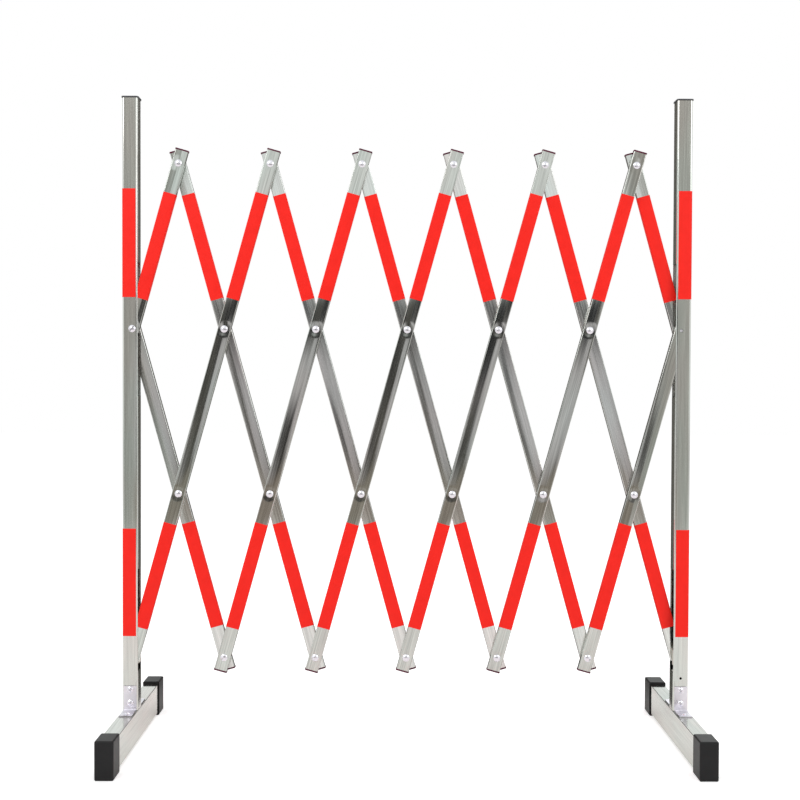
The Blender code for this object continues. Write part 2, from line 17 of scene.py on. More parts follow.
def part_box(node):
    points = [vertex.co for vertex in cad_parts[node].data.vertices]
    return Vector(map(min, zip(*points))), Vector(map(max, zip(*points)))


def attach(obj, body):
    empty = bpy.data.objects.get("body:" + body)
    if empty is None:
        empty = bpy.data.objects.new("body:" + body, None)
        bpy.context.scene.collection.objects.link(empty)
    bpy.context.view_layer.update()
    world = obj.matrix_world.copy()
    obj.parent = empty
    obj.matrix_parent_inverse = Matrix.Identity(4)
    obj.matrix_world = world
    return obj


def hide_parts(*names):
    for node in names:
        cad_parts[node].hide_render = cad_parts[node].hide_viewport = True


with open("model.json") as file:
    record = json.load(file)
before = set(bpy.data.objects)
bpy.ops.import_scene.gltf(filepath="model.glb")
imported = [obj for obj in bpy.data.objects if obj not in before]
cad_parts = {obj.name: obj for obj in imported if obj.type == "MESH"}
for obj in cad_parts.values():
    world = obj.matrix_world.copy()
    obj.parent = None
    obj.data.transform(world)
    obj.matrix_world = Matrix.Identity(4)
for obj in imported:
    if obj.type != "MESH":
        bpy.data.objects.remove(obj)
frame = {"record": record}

bl_info = {
    "name": "Expandable safety barrier",
    "version": (1, 0, 0),
    "blender": (4, 5, 0),
    "location": "3D View > Sidebar > Barrier",
    "description": "Models the struts, posts, feet and fastenings of a folding lattice barrier",
    "category": "Object",
}

MM = 0.001
X, Y, Z = 0, 1, 2
FRONT, REAR = -1, 1
SIDES = {"left": -1, "right": 1}
ENDS = {"front": FRONT, "rear": REAR}
LEVELS = ("lower", "upper")
QUARTER = math.radians(90)
HALF_TURN = math.radians(180)
SMOOTH_BELOW = math.radians(40)
WELD = 0.005 * MM
NUDGE = 0.01 * MM  # keeps apart two points of a turned outline that would fall together
FLAT = 0.995  # a face square to an axis, and none of the rounding beside it
PARALLEL, SQUARE = 0.9, 0.01  # an edge along an axis, and one square to it

# Steps of rounded corners, and sides of turned pieces
FINE_STEPS = 5
SMALL_STEPS = 3
CHAMFER_STEPS = 2
HEAD_SIDES = 40
SHANK_SIDES = 24
DOME_STEPS = 7

# Each strut: layer, column and row of its lowest pivot, and how many pivots it has
STRUTS = {
    "rear_strut_01": (REAR, 2, 0, 3),
    "front_strut_01": (FRONT, 0, 2, 2),
    "front_strut_02": (FRONT, 0, 0, 4),
    "front_strut_03": (FRONT, 2, 0, 4),
    "rear_strut_02": (REAR, 4, 0, 4),
    "rear_strut_03": (REAR, 6, 0, 4),
    "front_strut_04": (FRONT, 4, 0, 4),
    "front_strut_05": (FRONT, 6, 0, 4),
    "rear_strut_04": (REAR, 8, 0, 4),
    "rear_strut_05": (REAR, 10, 0, 4),
    "rear_strut_06": (REAR, 12, 0, 4),
    "front_strut_06": (FRONT, 8, 0, 4),
    "front_strut_07": (FRONT, 10, 0, 3),
    "rear_strut_07": (REAR, 12, 2, 2),
}
TURN = {FRONT: HALF_TURN, REAR: 0.0}  # the same rolled tube, turned round in the front layer
TAPED_ROWS = (0, 2)
LAST_COLUMN = 12
RIVETS = {"top": 6, "upper": 5, "lower": 6, "bottom": 5}


def middle_of(node):
    low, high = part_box(node)
    return (low + high) / 2


# The lattice and the posts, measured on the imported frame
BODY_OF = {node: body for body, nodes in frame["record"]["behaviour"]["bodies"].items()
           for node in nodes}
ROWS = [middle_of(f"{row}_rivet_1").z for row in ("bottom", "lower", "upper", "top")]
HALF_PITCH = (middle_of("top_rivet_6").x - middle_of("top_rivet_1").x) / (LAST_COLUMN - 2)
ROW_STEP = ROWS[1] - ROWS[0]
FIRST_COLUMN_X = middle_of("top_rivet_1").x - HALF_PITCH
LEAN = math.atan2(HALF_PITCH, ROW_STEP)
PIVOT_SPACING = math.hypot(HALF_PITCH, ROW_STEP)
POST_X = {side: middle_of(f"{side}_foot_beam").x for side in SIDES}
POST_BOTTOM, POST_TOP = (corner.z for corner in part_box("left_post"))
BEAM_LOW, BEAM_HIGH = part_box("left_foot_beam")
RUBBER_LOW, RUBBER_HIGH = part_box("left_rear_rubber_foot")

# Gaps, and edges that several pieces share
SEAT_GAP = 0.3 * MM
HOLE_GAP = 0.4 * MM
SMALL_EDGE = 0.3 * MM
CUT_OVERRUN = 1 * MM

# Struts, their tape and their plugs
FACE_CUTS = 7
FALL_SHARE = 0.72  # how far the fall reaches in from the edge, over half the flat face
DIMPLE_RINGS = 7
DIMPLE_UNDER_RIM = 0.6  # share of the dimple's depth that is left under the rivet's rim
LAP_SHARE = 0.8  # how far a lapped end stands up, over the tape's thickness
STUB_GAP = 0.5 * MM
STUB_TAPER = (0.97, 0.94, 1)
PLUG_LIP, PLUG_DISH_EDGE, PLUG_DISH = 1.6 * MM, 0.4 * MM, 0.25 * MM

# Rivets, bolts and pins
HEAD_RIM, RIM_WIDEST = 0.4 * MM, 0.4  # a head's rim is widest at this share of its height
HEAD_FOOT = 0.985  # a head is drawn in a little at its seat, over its diameter
CROWN_FLAT = 0.2 * MM
WASHER_HALF = 0.5 * MM
PIN_CHAMFER = 0.4 * MM
NUT_SIDES, NUT_WIDTH, NUT_HEIGHT, NUT_CHAMFER = 6, 10 * MM, 4 * MM, 0.6 * MM
BOLT_TAIL = 2 * MM
RECESS_SHARE, RECESS_WIDTH, RECESS_DEPTH = 0.55, 1.5 * MM, 1.9 * MM
RECESS_TAPER = (0.45, 0.7, 1)
HEAD_SLOT_HALF, HEAD_SLOT_DEPTH, HEAD_SLOT_TURN = 1.3 * MM, 2.4 * MM, math.radians(52)
PIVOT_HEAD_RISE = 3.2 * MM
SCREW_OUTLINE = ((1.2 * MM, -12 * MM), (2.5 * MM, -10 * MM), (2.5 * MM, 0))

# Posts and caps
WINDOW_HALF = 130.95 * MM
SLOT_LOW, SLOT_HIGH = 143.6 * MM, 343.0 * MM
OPENING_GAP, OPENING_CORNER = 0.45 * MM, 1.5 * MM
TAPE_BANDS = ((211.95 * MM, 421.95 * MM), (871.95 * MM, 1081.95 * MM))
SPARE_RISE, SPARE_RADIUS, SPARE_REACH = 64 * MM, 2.5 * MM, 4 * MM
CAP_CORNER = 1 * MM  # how much wider the cap's corners are than the post's
CAP_CROWN = ((0.9 * MM, 0.25 * MM), (3 * MM, 0.15 * MM))  # each step: how far in and up
CAP_STUB, CAP_STUB_TIP, CAP_STUB_TAPER = 12 * MM, 2 * MM, (0.94, 0.94, 1)

# Feet, brackets and slide blocks
BEAM_CORNER = 0.9 * MM
RUBBER_EDGE, RUBBER_STEPS, MOUTH_EDGE = 3 * MM, 4, 0.5 * MM
RUBBER_WALL, RUBBER_SOLE = 2 * MM, 6 * MM
TREADS, TREAD_START, TREAD_PITCH = 7, 5 * MM, 5.4 * MM
TREAD_WIDTH, TREAD_DEPTH, TREAD_MARGIN = 2 * MM, 1.2 * MM, 4 * MM
BRACKET_RISE, BRACKET_REACH, BRACKET_BEND, BEND_STEPS = 48 * MM, 42 * MM, 3 * MM, 8
BRACKET_EDGE, SCREW_SETBACK = 0.25 * MM, 14 * MM
BLOCK_EDGE, BLOCK_HOLE_REACH = 2 * MM, 40 * MM


def linear(code):
    """Linear red, green and blue of an sRGB hex colour."""
    shares = [int(code[place:place + 2], 16) / 255 for place in (1, 3, 5)]
    return tuple(s / 12.92 if s <= 0.04045 else ((s + 0.055) / 1.055) ** 2.4 for s in shares)


def length(title, note, millimetres):
    return FloatProperty(name=title, description=note, default=millimetres * MM, min=0,
                         unit="LENGTH")


def share(title, note, value):
    return FloatProperty(name=title, description=note, default=value, min=0, max=1,
                         subtype="FACTOR")


def colour(title, note, code):
    return FloatVectorProperty(name=title, description=note, default=linear(code), size=3,
                               min=0, max=1, subtype="COLOR")


class BarrierSizes(bpy.types.PropertyGroup):
    """Sizes of the modelled pieces, which follow the CAD solids."""

    strut_width: length("Strut width", "Across the face of a lattice strut", 25)
    strut_depth: length("Strut depth", "From the front to the back of a strut", 12)
    strut_wall: length("Strut wall", "Thickness of the strut's tube", 1)
    strut_corner: length("Strut corner", "Radius of the strut's long edges", 1.5)
    strut_fall: length("Strut fall", "How far the rolled faces fall toward one edge", 0.34)
    dimple: length("Dimple", "How deep the riveting presses the strut's face", 0.8)
    dimple_reach: length("Dimple reach", "From the rivet's middle to the flat face", 18)
    layer_gap: length("Layer gap", "Between the front and the rear struts", 1.6)
    free_end: length("Free end", "Of a strut, past its last rivet", 25)
    post_end: length("Post end", "Of a strut, past its pivot in a post", 5)
    tape_length: length("Tape length", "Of a red sleeve along its strut", 212)
    tape_thickness: length("Tape thickness", "Of one layer of tape", 0.22)
    tape_gap: length("Tape gap", "Glue between the tape and the steel", 0.05)
    post_tape: length("Post tape", "Thickness of the posts' tape, which is wound double", 0.5)
    tape_lap: length("Tape lap", "Width of the overlap behind a strut", 9)
    plug_flange: length("Plug flange", "Thickness of the strut plug's rim", 2.8)
    plug_rim: length("Plug rim", "How far the plug's rim stands past the tube", 0.7)
    plug_corner: length("Plug corner", "Radius of the plug rim's corners", 2.5)
    plug_inside: length("Plug depth", "Of the plug inside the tube", 8)
    rivet_head: length("Rivet head", "Diameter of the domed heads", 14)
    rivet_rise: length("Rivet rise", "Height of the domed heads", 3)
    shank: length("Shank", "Diameter of rivets, bolts and pins", 6)
    washer: length("Washer", "Diameter of the washers between the struts", 12)
    post_width: length("Post width", "Of the square posts", 30)
    post_corner: length("Post corner", "Radius of the posts' edges", 3.8)
    post_wall: length("Post wall", "Thickness of the posts' tube", 1)
    beam_wall: length("Beam wall", "Thickness of the foot beams' tube", 1.2)
    bracket_width: length("Bracket width", "Across the foot brackets", 25)
    bracket_thickness: length("Bracket thickness", "Of the bent steel strip", 2)
    bolt_head: length("Bolt head", "Diameter of the foot bolts' heads", 12)
    bolt_rise: length("Bolt rise", "Height of the foot bolts' heads", 2.6)


class BarrierFinishes(bpy.types.PropertyGroup):
    """Colours and gloss of the finishes."""

    mirror_steel: colour("Polished steel", "Front struts", "#C6C6C3")
    satin_steel: colour("Satin strut steel", "Rear struts", "#D6D5D4")
    post_steel: colour("Post steel", "Posts and foot beams", "#D2D2CF")
    bright_steel: colour("Bright steel", "Brackets, bolts and rivets", "#ECE9F0")
    tape_red: colour("Tape", "Reflective sleeves", "#FF2419")
    plum_plastic: colour("Plug plastic", "End plugs of the struts", "#5A2438")
    black_plastic: colour("Cap plastic", "Post caps", "#3E3E41")
    black_rubber: colour("Rubber", "Feet", "#1B1B1C")
    nylon: colour("Nylon", "Slide blocks in the posts", "#D9D6CC")
    mirror_roughness: share("Polish", "Roughness of the front struts", 0.08)
    satin_roughness: share("Satin", "Roughness of the rear struts", 0.14)
    post_roughness: share("Brushing", "Roughness of the posts", 0.12)
    zinc_roughness: share("Plating", "Roughness of the foot brackets", 0.32)


def sizes():
    return bpy.context.scene.barrier_sizes


def finishes():
    return bpy.context.scene.barrier_finishes


# Modelling helpers


def clear_selection():
    """Leaves edit mode and deselects everything."""
    if bpy.context.object and bpy.context.object.mode != "OBJECT":
        bpy.ops.object.mode_set(mode="OBJECT")
    bpy.ops.object.select_all(action="DESELECT")


def select_only(thing):
    clear_selection()
    thing.select_set(True)
    bpy.context.view_layer.objects.active = thing


def settle(thing, **pose):
    """Gives a piece its location, rotation_euler or scale, and applies them to its mesh."""
    select_only(thing)
    for name, value in pose.items():
        setattr(thing, name, value)
    bpy.ops.object.transform_apply(location=True, rotation=True, scale=True)
    return thing


def new_piece(name, kind, scale=(1, 1, 1), **shape):
    """Starts a piece from a primitive at its size and place, not open for editing yet."""
    clear_selection()
    getattr(bpy.ops.mesh, f"primitive_{kind}_add")(**shape)
    piece = bpy.context.object
    piece.name = name
    return settle(piece, scale=scale)


def edit(kind="FACE"):
    """Opens the active mesh for editing by its faces, edges or points, with all selected."""
    bpy.ops.object.mode_set(mode="EDIT")
    select_all(kind)


def select_all(kind=None):
    if kind:
        bpy.ops.mesh.select_mode(type=kind)
    bpy.ops.mesh.select_all(action="SELECT")


def pick(kind, wanted):
    """Selects the faces, edges or points of the open mesh that are wanted, and nothing else."""
    bpy.ops.mesh.select_mode(type=kind)
    bpy.ops.mesh.select_all(action="DESELECT")
    mesh = bpy.context.object.data
    shape = bmesh.from_edit_mesh(mesh)
    items = {"FACE": shape.faces, "EDGE": shape.edges, "VERT": shape.verts}[kind]
    chosen = [item for item in items if wanted(item)]
    for item in chosen:
        item.select_set(True)
    bmesh.update_edit_mesh(mesh)
    if not chosen:
        raise RuntimeError(f"nothing to select on {bpy.context.object.name}")


def middle(edge):
    return (edge.verts[0].co + edge.verts[1].co) / 2


def along(edge, axis):
    """One for an edge that is parallel to the axis, and nought for one square to it."""
    return abs((edge.verts[0].co - edge.verts[1].co).normalized()[axis])


def draw_out(x=0.0, y=0.0, z=0.0):
    bpy.ops.mesh.extrude_region_move(TRANSFORM_OT_translate={"value": (x, y, z)})


def lift(z):
    bpy.ops.transform.translate(value=(0, 0, z))


def inset(thickness, depth=0.0):
    bpy.ops.mesh.inset(thickness=thickness, depth=depth)


def bevel(offset, steps, points=False):
    bpy.ops.mesh.bevel(offset=offset, offset_type="OFFSET", segments=steps, profile=0.5,
                       affect="VERTICES" if points else "EDGES", clamp_overlap=True)


def face_outwards():
    bpy.ops.mesh.normals_make_consistent(inside=False)


def new_section(name, width, depth, corner, steps=FINE_STEPS):
    """Starts a piece as a filled rectangle with rounded corners, open for editing."""
    section = new_piece(name, "plane", (width, depth, 1), size=1)
    edit("VERT")
    bevel(corner, steps, points=True)
    return section


def new_block(name, low, high):
    low, high = Vector(low), Vector(high)
    return new_piece(name, "cube", high - low, size=1, location=(low + high) / 2)


def hollow_out(wall):
    """Turns the open section into a ring of the wall's thickness."""
    select_all("FACE")
    inset(wall)
    bpy.ops.mesh.delete(type="FACE")
    select_all()


def new_turned(name, points, sides=HEAD_SIDES):
    """A turned piece about Z: a disc drawn out and resized through (radius, height) points."""
    radius, height = points[0]
    turned = new_piece(name, "circle", vertices=sides, radius=radius, fill_type="NGON",
                       location=(0, 0, height))
    edit()
    for (near, start), (far, end) in zip(points, points[1:]):
        draw_out(z=end - start)
        bpy.ops.transform.resize(value=(far / near, far / near, 1), center_override=(0, 0, end))
    return turned


def close_up(thing, turn=(0, 0, 0)):
    """Welds the open piece, points its faces outwards and settles it, turned if it has to be."""
    select_all()
    bpy.ops.mesh.remove_doubles(threshold=WELD)
    face_outwards()
    return settle(thing, rotation_euler=turn)


def cut(thing, cutter, operation="DIFFERENCE"):
    """Takes the cutter out of the piece, or adds it with UNION, and deletes it."""
    select_only(thing)
    step = thing.modifiers.new("cut", "BOOLEAN")
    step.operation = operation
    step.solver = "EXACT"
    step.object = cutter
    bpy.ops.object.modifier_apply(modifier=step.name)
    drop(cutter)


def dress(piece, look, node):
    """Gives a piece its finish, smooths it and lets it ride and stand for its CAD node."""
    select_only(piece)
    bpy.ops.object.shade_smooth_by_angle(angle=SMOOTH_BELOW)
    flats = piece.modifiers.new("flats", "WEIGHTED_NORMAL")
    flats.keep_sharp = True
    bpy.ops.object.modifier_apply(modifier=flats.name)
    piece.data.materials.clear()
    piece.data.materials.append(finish(look))
    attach(piece, BODY_OF[node])
    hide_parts(node)


def set_in(pattern, part, look, node, place, lean=0.0, turn=0.0):
    """Copies a pattern with its own mesh, leant about Y or turned about Z at its place, and
    dresses it as a part of its CAD node."""
    select_only(pattern)
    bpy.ops.object.duplicate(linked=False)
    piece = bpy.context.object
    piece.name = f"{node}_{part}"
    dress(settle(piece, location=place, rotation_euler=(0, lean, turn)), look, node)


def drop(*patterns):
    for pattern in patterns:
        bpy.data.objects.remove(pattern, do_unlink=True)


# Materials

CLOUD_SPAN = (0.3, 0.7)  # where nearly all of a noise's values lie
# A belt's scratches are about 0.05 mm wide, which is too fine to show: drawn 50 times coarser
SCRATCH, SCRATCH_STRETCH = 2.5 * MM, 0.02
# Drawn tube is out of true by about a tenth of a millimetre over every 70 mm
TUBE_WAVE, WAVE_STRETCH = 70 * MM, 0.3
WARM, COOL = "#FFFAF8", "#F8FFFC"
DULL_FROM, DULL_TO = 0.4, 0.6  # the heights between which the slides' rubbing ends
DULL_METAL, DULL_GLOSS = -0.35, 0.5
# Shares of a material's own roughness and shade, from the lowest to the highest of a pattern
TUBE_GLOSS, ZINC_GLOSS, MOULD_GLOSS = (0.85, 1.2), (0.8, 1.2), (0.9, 1.1)
ZINC_SHADES, MOULD_SHADES, TAPE_SHADES = (0.92, 1), (0.85, 1.15), (0.94, 1)
FLOW_CLOUDS = (25 * MM, 2)  # where the melt spread in its mould
STRETCH_MARKS, FILM_GRAIN = (18 * MM, 3), (1.5 * MM, 2)


def fill(tree, made, inputs):
    """Links a node's inputs to sockets or sets them. A colour is a hex code or three parts."""
    for name, value in inputs.items():
        socket = made.inputs[name]
        if isinstance(value, bpy.types.NodeSocket):
            tree.links.new(value, socket)
        elif socket.type == "RGBA":
            socket.default_value = (*(linear(value) if isinstance(value, str) else value), 1)
        else:
            socket.default_value = value


def node(tree, kind, inputs=(), output=0, **settings):
    """Adds a shader node with its settings and its inputs, in order or by name."""
    made = tree.nodes.new("ShaderNode" + kind)
    for name, value in settings.items():
        setattr(made, name, value)
    fill(tree, made, inputs if isinstance(inputs, dict) else dict(enumerate(inputs)))
    return made.outputs[output]


def new_material(name):
    """A material with its tree and its shader."""
    made = bpy.data.materials.new(name)
    made.use_nodes = True
    return made, made.node_tree, made.node_tree.nodes["Principled BSDF"]


def grain(tree, size, detail, stretch=(1, 1, 1), lean=0.0):
    """Clouds of a size on the piece's own coordinates, stretched and leant with its strut."""
    place = node(tree, "TexCoord", output="Object")
    if lean:
        place = node(tree, "Mapping", {"Vector": place, "Rotation": (0, lean, 0)})
    place = node(tree, "Mapping", {"Vector": place, "Scale": stretch})
    return node(tree, "TexNoise", {"Vector": place, "Scale": 1 / size, "Detail": detail}, "Fac")


def blend(tree, pattern, low, high, span=CLOUD_SPAN):
    """A colour that goes from low to high as the pattern rises over its span."""
    rise = node(tree, "MapRange", (pattern, *span, 0, 1))
    return node(tree, "Mix", {0: rise, 6: low, 7: high}, 2, data_type="RGBA")


def joint_mask(tree, operation, *masks):
    """One mask from several, by MULTIPLY where all hold or by MAXIMUM where any does. A mask
    given as (value, clear, full) rises from nought to one between these two values."""
    masks = [node(tree, "MapRange", (*mask, 0, 1)) if isinstance(mask, tuple) else mask
             for mask in masks]
    whole = masks[0]
    for mask in masks[1:]:
        whole = node(tree, "Math", (whole, mask), operation=operation)
    return whole


def shaded(tint, factor):
    return tuple(min(1.0, part * factor) for part in tint)


def steel_tube(name, tint, roughness, lean=0.0, lies_along=Z, scratch_depth=0.004 * MM,
               wave_depth=0.12 * MM, streak_and_reflection_contrast=0.12):
    """Welded stainless tube, ground with a belt along its length: fine lines that draw each
    reflection out sideways, faint waves that bend it, and a patchy cast from warm to cool. The
    lines are also painted into its colour as dark and pale streaks, partly the belt's grain and
    partly a painted reflection."""
    made, tree, shader = new_material(name)
    stretch = [SCRATCH_STRETCH if axis == lies_along else 1 for axis in (X, Y, Z)]
    scratches = grain(tree, SCRATCH, 4, stretch, lean)
    broad = [WAVE_STRETCH + (1 - WAVE_STRETCH) * part for part in stretch]
    waves = grain(tree, TUBE_WAVE, 2, broad, lean)
    # Streaks in the colour: partly the belt's grain, partly a painted reflection of the room's
    # bands
    tone = blend(tree, scratches, shaded(tint, 1 - streak_and_reflection_contrast), shaded(tint, 1 + streak_and_reflection_contrast))
    cast = blend(tree, waves, COOL, WARM)
    bent = node(tree, "Bump", {"Strength": 1, "Distance": wave_depth, "Height": waves})
    gloss = (roughness * part for part in TUBE_GLOSS)
    fill(tree, shader, {
        "Base Color": node(tree, "Mix", {0: 1, 6: tone, 7: cast}, 2, data_type="RGBA",
                           blend_type="MULTIPLY"),
        "Metallic": 1,
        "Roughness": node(tree, "MapRange", (scratches, *CLOUD_SPAN, *gloss)),
        "Normal": node(tree, "Bump", {"Strength": 1, "Distance": scratch_depth,
                                      "Height": scratches, "Normal": bent}),
    })
    return made


def post_steel(tint, roughness):
    """The posts' tube, ground outside. Inside it is dull, but for what the slide blocks rub."""
    made = steel_tube("stainless_post_belt_ground", tint, roughness, wave_depth=0.05 * MM)
    tree, s = made.node_tree, sizes()
    shader = tree.nodes["Principled BSDF"]
    place = node(tree, "TexCoord", output="Object")
    height = node(tree, "SeparateXYZ", (place,), "Z")
    # How far a point lies from the post's axis, past the flat part of the wall
    flat = s.post_width / 2 - s.post_corner
    for operation, other in (("ABSOLUTE", (0, 0, 0)), ("SUBTRACT", (POST_X["right"], 0, 0)),
                             ("ABSOLUTE", (0, 0, 0)), ("SUBTRACT", (flat, flat, POST_TOP)),
                             ("MAXIMUM", (0, 0, 0))):
        place = node(tree, "VectorMath", (place, other), operation=operation)
    out = node(tree, "VectorMath", (place,), "Value", operation="LENGTH")
    within = node(tree, "Math", (out, s.post_corner - s.post_wall / 2), operation="LESS_THAN")
    inside = joint_mask(tree, "MULTIPLY", (height, DULL_FROM, DULL_TO), within)
    gloss = shader.inputs["Roughness"].links[0].from_socket
    dull = node(tree, "Math", (inside, DULL_GLOSS), operation="MULTIPLY")
    fill(tree, shader, {
        "Metallic": node(tree, "Math", (inside, DULL_METAL, 1), operation="MULTIPLY_ADD"),
        "Roughness": node(tree, "Math", (gloss, dull), operation="MAXIMUM"),
    })
    return made


def even_finish(name, tint, shades, clouds, gloss_clouds, gloss, skin, depth, metallic=0,
                specular=0.5):
    """A finish with no direction: clouds in its shade and its gloss, and a skin of fine dents.
    Each pattern is a size and a detail."""
    made, tree, shader = new_material(name)
    fill(tree, shader, {
        "Base Color": blend(tree, grain(tree, *clouds), *(shaded(tint, part) for part in shades)),
        "Metallic": metallic,
        "Roughness": node(tree, "MapRange", (grain(tree, *gloss_clouds), *CLOUD_SPAN, *gloss)),
        "Specular IOR Level": specular,
        "Normal": node(tree, "Bump", {"Strength": 1, "Distance": depth,
                                      "Height": grain(tree, *skin)}),
    })
    return made


def zinc_steel(name, tint, roughness, blotch, depth):
    """Bright zinc plate on pressed or headed steel: soft blotches nearly as wide as the piece,
    which shift its shade and its gloss."""
    clouds, gloss = (blotch, 2), (roughness * part for part in ZINC_GLOSS)
    return even_finish(name, tint, ZINC_SHADES, clouds, clouds, gloss, clouds, depth, metallic=1)


def moulded(name, tint, roughness, mould_grain, depth, specular=0.35):
    """Injection-moulded plastic or rubber: the mould's grain over a colour with soft clouds."""
    skin, gloss = (mould_grain, 4), (roughness * part for part in MOULD_GLOSS)
    return even_finish(name, tint, MOULD_SHADES, FLOW_CLOUDS, skin, gloss, skin, depth,
                       specular=specular)


# Mould grain is 0.1 to 0.2 mm wide and would not show, so it is drawn five to ten times coarser
FINISH_MAKERS = {
    # Buffed along the tube, so that it shows the room in long soft bands, with strong painted
    # reflection streaks in its colour besides
    "mirror_front": lambda f: steel_tube("stainless_tube_buffed", f.mirror_steel,
                                         f.mirror_roughness, -LEAN, scratch_depth=0.012 * MM,
                                         streak_and_reflection_contrast=0.24),
    # Ground with a fine belt, so that the same room is only a pale sheen, with milder streaks in
    # its colour that are partly grain and partly painted reflection
    "satin_rear": lambda f: steel_tube("stainless_tube_belt_ground", f.satin_steel,
                                       f.satin_roughness, LEAN, scratch_depth=0.006 * MM,
                                       streak_and_reflection_contrast=0.16),
    # Ground flat and straight, so that each face shows one even tone
    "post": lambda f: post_steel(f.post_steel, f.post_roughness),
    "beam": lambda f: steel_tube("stainless_beam_belt_ground", f.post_steel, f.post_roughness,
                                 lies_along=Y, wave_depth=0.05 * MM),
    # Headed cold and tumbled, so that each dome catches one sharp light
    "bright": lambda f: zinc_steel("zinc_plated_headed_steel", f.bright_steel, 0.26, 9 * MM,
                                   0.004 * MM),
    # Sheared and bent from strip and left as plated, which scatters the light evenly
    "zinc": lambda f: zinc_steel("zinc_plated_bent_strip", f.bright_steel, f.zinc_roughness,
                                 14 * MM, 0.002 * MM),
    # Calendered and wound by hand: a smooth strong red, with faint marks a finger wide where it
    # was stretched. The film's own grain of 0.3 mm is drawn five times coarser.
    "tape": lambda f: even_finish("pvc_tape_calendered_red", f.tape_red, TAPE_SHADES,
                                  STRETCH_MARKS, STRETCH_MARKS, (0.34, 0.44), FILM_GRAIN,
                                  0.01 * MM, specular=0.2),
    # Soft and waxy, so that its plum colour stays deep and hardly shines
    "plum": lambda f: moulded("polyethylene_plug_moulded", f.plum_plastic, 0.6, 0.8 * MM,
                              0.01 * MM, 0.15),
    # From a smooth mould, so that its edges catch a pale line
    "cap": lambda f: moulded("polypropylene_cap_moulded", f.black_plastic, 0.34, 0.9 * MM,
                             0.02 * MM, 0.5),
    # From a sand-blasted mould: black, with a broad weak sheen on its edges
    "rubber": lambda f: moulded("rubber_foot_moulded", f.black_rubber, 0.42, 1.2 * MM,
                                0.03 * MM, 0.25),
    # Milled from bar and left as cut: milky and dull
    "nylon": lambda f: moulded("nylon_block_machined", f.nylon, 0.5, 1 * MM, 0.01 * MM),
}
made_finishes = {}


def finish(look):
    if look not in made_finishes:
        made_finishes[look] = FINISH_MAKERS[look](finishes())
    return made_finishes[look]


# Struts, their tape and their plugs


def strut_section(name, grow=0.0):
    """The open section of a strut, grown all round, whose wide faces fall toward one edge."""
    s = sizes()
    width, depth = s.strut_width + 2 * grow, s.strut_depth + 2 * grow
    section = new_section(name, width, depth, s.strut_corner + grow)
    flat = width / 2 - s.strut_corner - grow
    pick("EDGE", lambda e: along(e, X) > PARALLEL and abs(middle(e).x) < WELD)
    bpy.ops.mesh.subdivide(number_cuts=FACE_CUTS)
    for step in range(FACE_CUTS + 1):
        x = flat * (2 * step / (FACE_CUTS + 1) - 1)
        fall = s.strut_fall * max(0, 1 - (x + flat) / (FALL_SHARE * flat))
        if fall > WELD:
            pick("VERT", lambda v: abs(v.co.x - x) < WELD or step == 0 and v.co.x < x)
            bpy.ops.transform.resize(value=(1, 1 - 2 * fall / depth, 1),
                                     center_override=(0, 0, 0))
    return section


def strut_ends(layer, column, pivots):
    """Whether a strut's lower and upper end are free, and not pinned in a post."""
    top_column = column - layer * (pivots - 1)
    return column not in (0, LAST_COLUMN), top_column not in (0, LAST_COLUMN)


def strut_reach(free_bottom, free_top, pivots):
    s = sizes()
    low = -(s.free_end if free_bottom else s.post_end)
    high = (pivots - 1) * PIVOT_SPACING + (s.free_end if free_top else s.post_end)
    return low, high


def on_strut(layer, column, row, reach=0.0):
    """World place on a strut's middle line, a reach away from its lowest pivot."""
    s = sizes()
    return Vector((FIRST_COLUMN_X + column * HALF_PITCH - layer * math.sin(LEAN) * reach,
                   layer * (s.strut_depth + s.layer_gap) / 2,
                   ROWS[0] + row * ROW_STEP + math.cos(LEAN) * reach))


def shank_hole(height, reach, radius=None):
    """A cutter along Y through a strut or post, with room round a shank unless told its radius."""
    return new_piece("hole", "cylinder", vertices=SHANK_SIDES, depth=2 * reach,
                     radius=radius or sizes().shank / 2 + HOLE_GAP,
                     location=(0, 0, height), rotation=(QUARTER, 0, 0))


def strut_tube(low, high, pivots):
    """A length of strut tube along Z, pressed in round each pivot and holed there."""
    s = sizes()
    tube = strut_section("tube_pattern")
    hollow_out(s.strut_wall)
    lift(low)
    places = [step * PIVOT_SPACING for step in range(pivots)]
    rings = [place + s.dimple_reach * step / DIMPLE_RINGS for place in places
             for step in range(-DIMPLE_RINGS, DIMPLE_RINGS + 1)]
    heights = [low, *(ring for ring in rings if low + WELD < ring < high - WELD), high]
    for start, end in zip(heights, heights[1:]):
        draw_out(z=end - start)
    for place in places:
        for way in (FRONT, REAR):
            pick("VERT", lambda v: v.co.y * way > s.strut_depth / 2 - WELD and abs(v.co.x) < WELD
                 and abs(v.co.z - place) < WELD)
            bpy.ops.transform.translate(value=(0, -way * s.dimple, 0), use_proportional_edit=True,
                                        proportional_edit_falloff="SMOOTH",
                                        proportional_size=s.dimple_reach)
    close_up(tube)
    for place in places:
        cut(tube, shank_hole(place, s.strut_depth))
    return tube


class BARRIER_OT_struts(bpy.types.Operator):
    """Models the fourteen lattice struts as rolled thin-walled tubes"""

    bl_idname = "barrier.struts"
    bl_label = "Lattice struts"

    def execute(self, context):
        patterns = {}
        for name, (layer, column, row, pivots) in STRUTS.items():
            ends = strut_ends(layer, column, pivots)
            kind = (pivots, *ends)
            if kind not in patterns:
                patterns[kind] = strut_tube(*strut_reach(*ends, pivots), pivots)
            look = "mirror_front" if layer == FRONT else "satin_rear"
            set_in(patterns[kind], "tube", look, name,
                   on_strut(layer, column, row), -LEAN, TURN[layer])
        drop(*patterns.values())
        return {"FINISHED"}


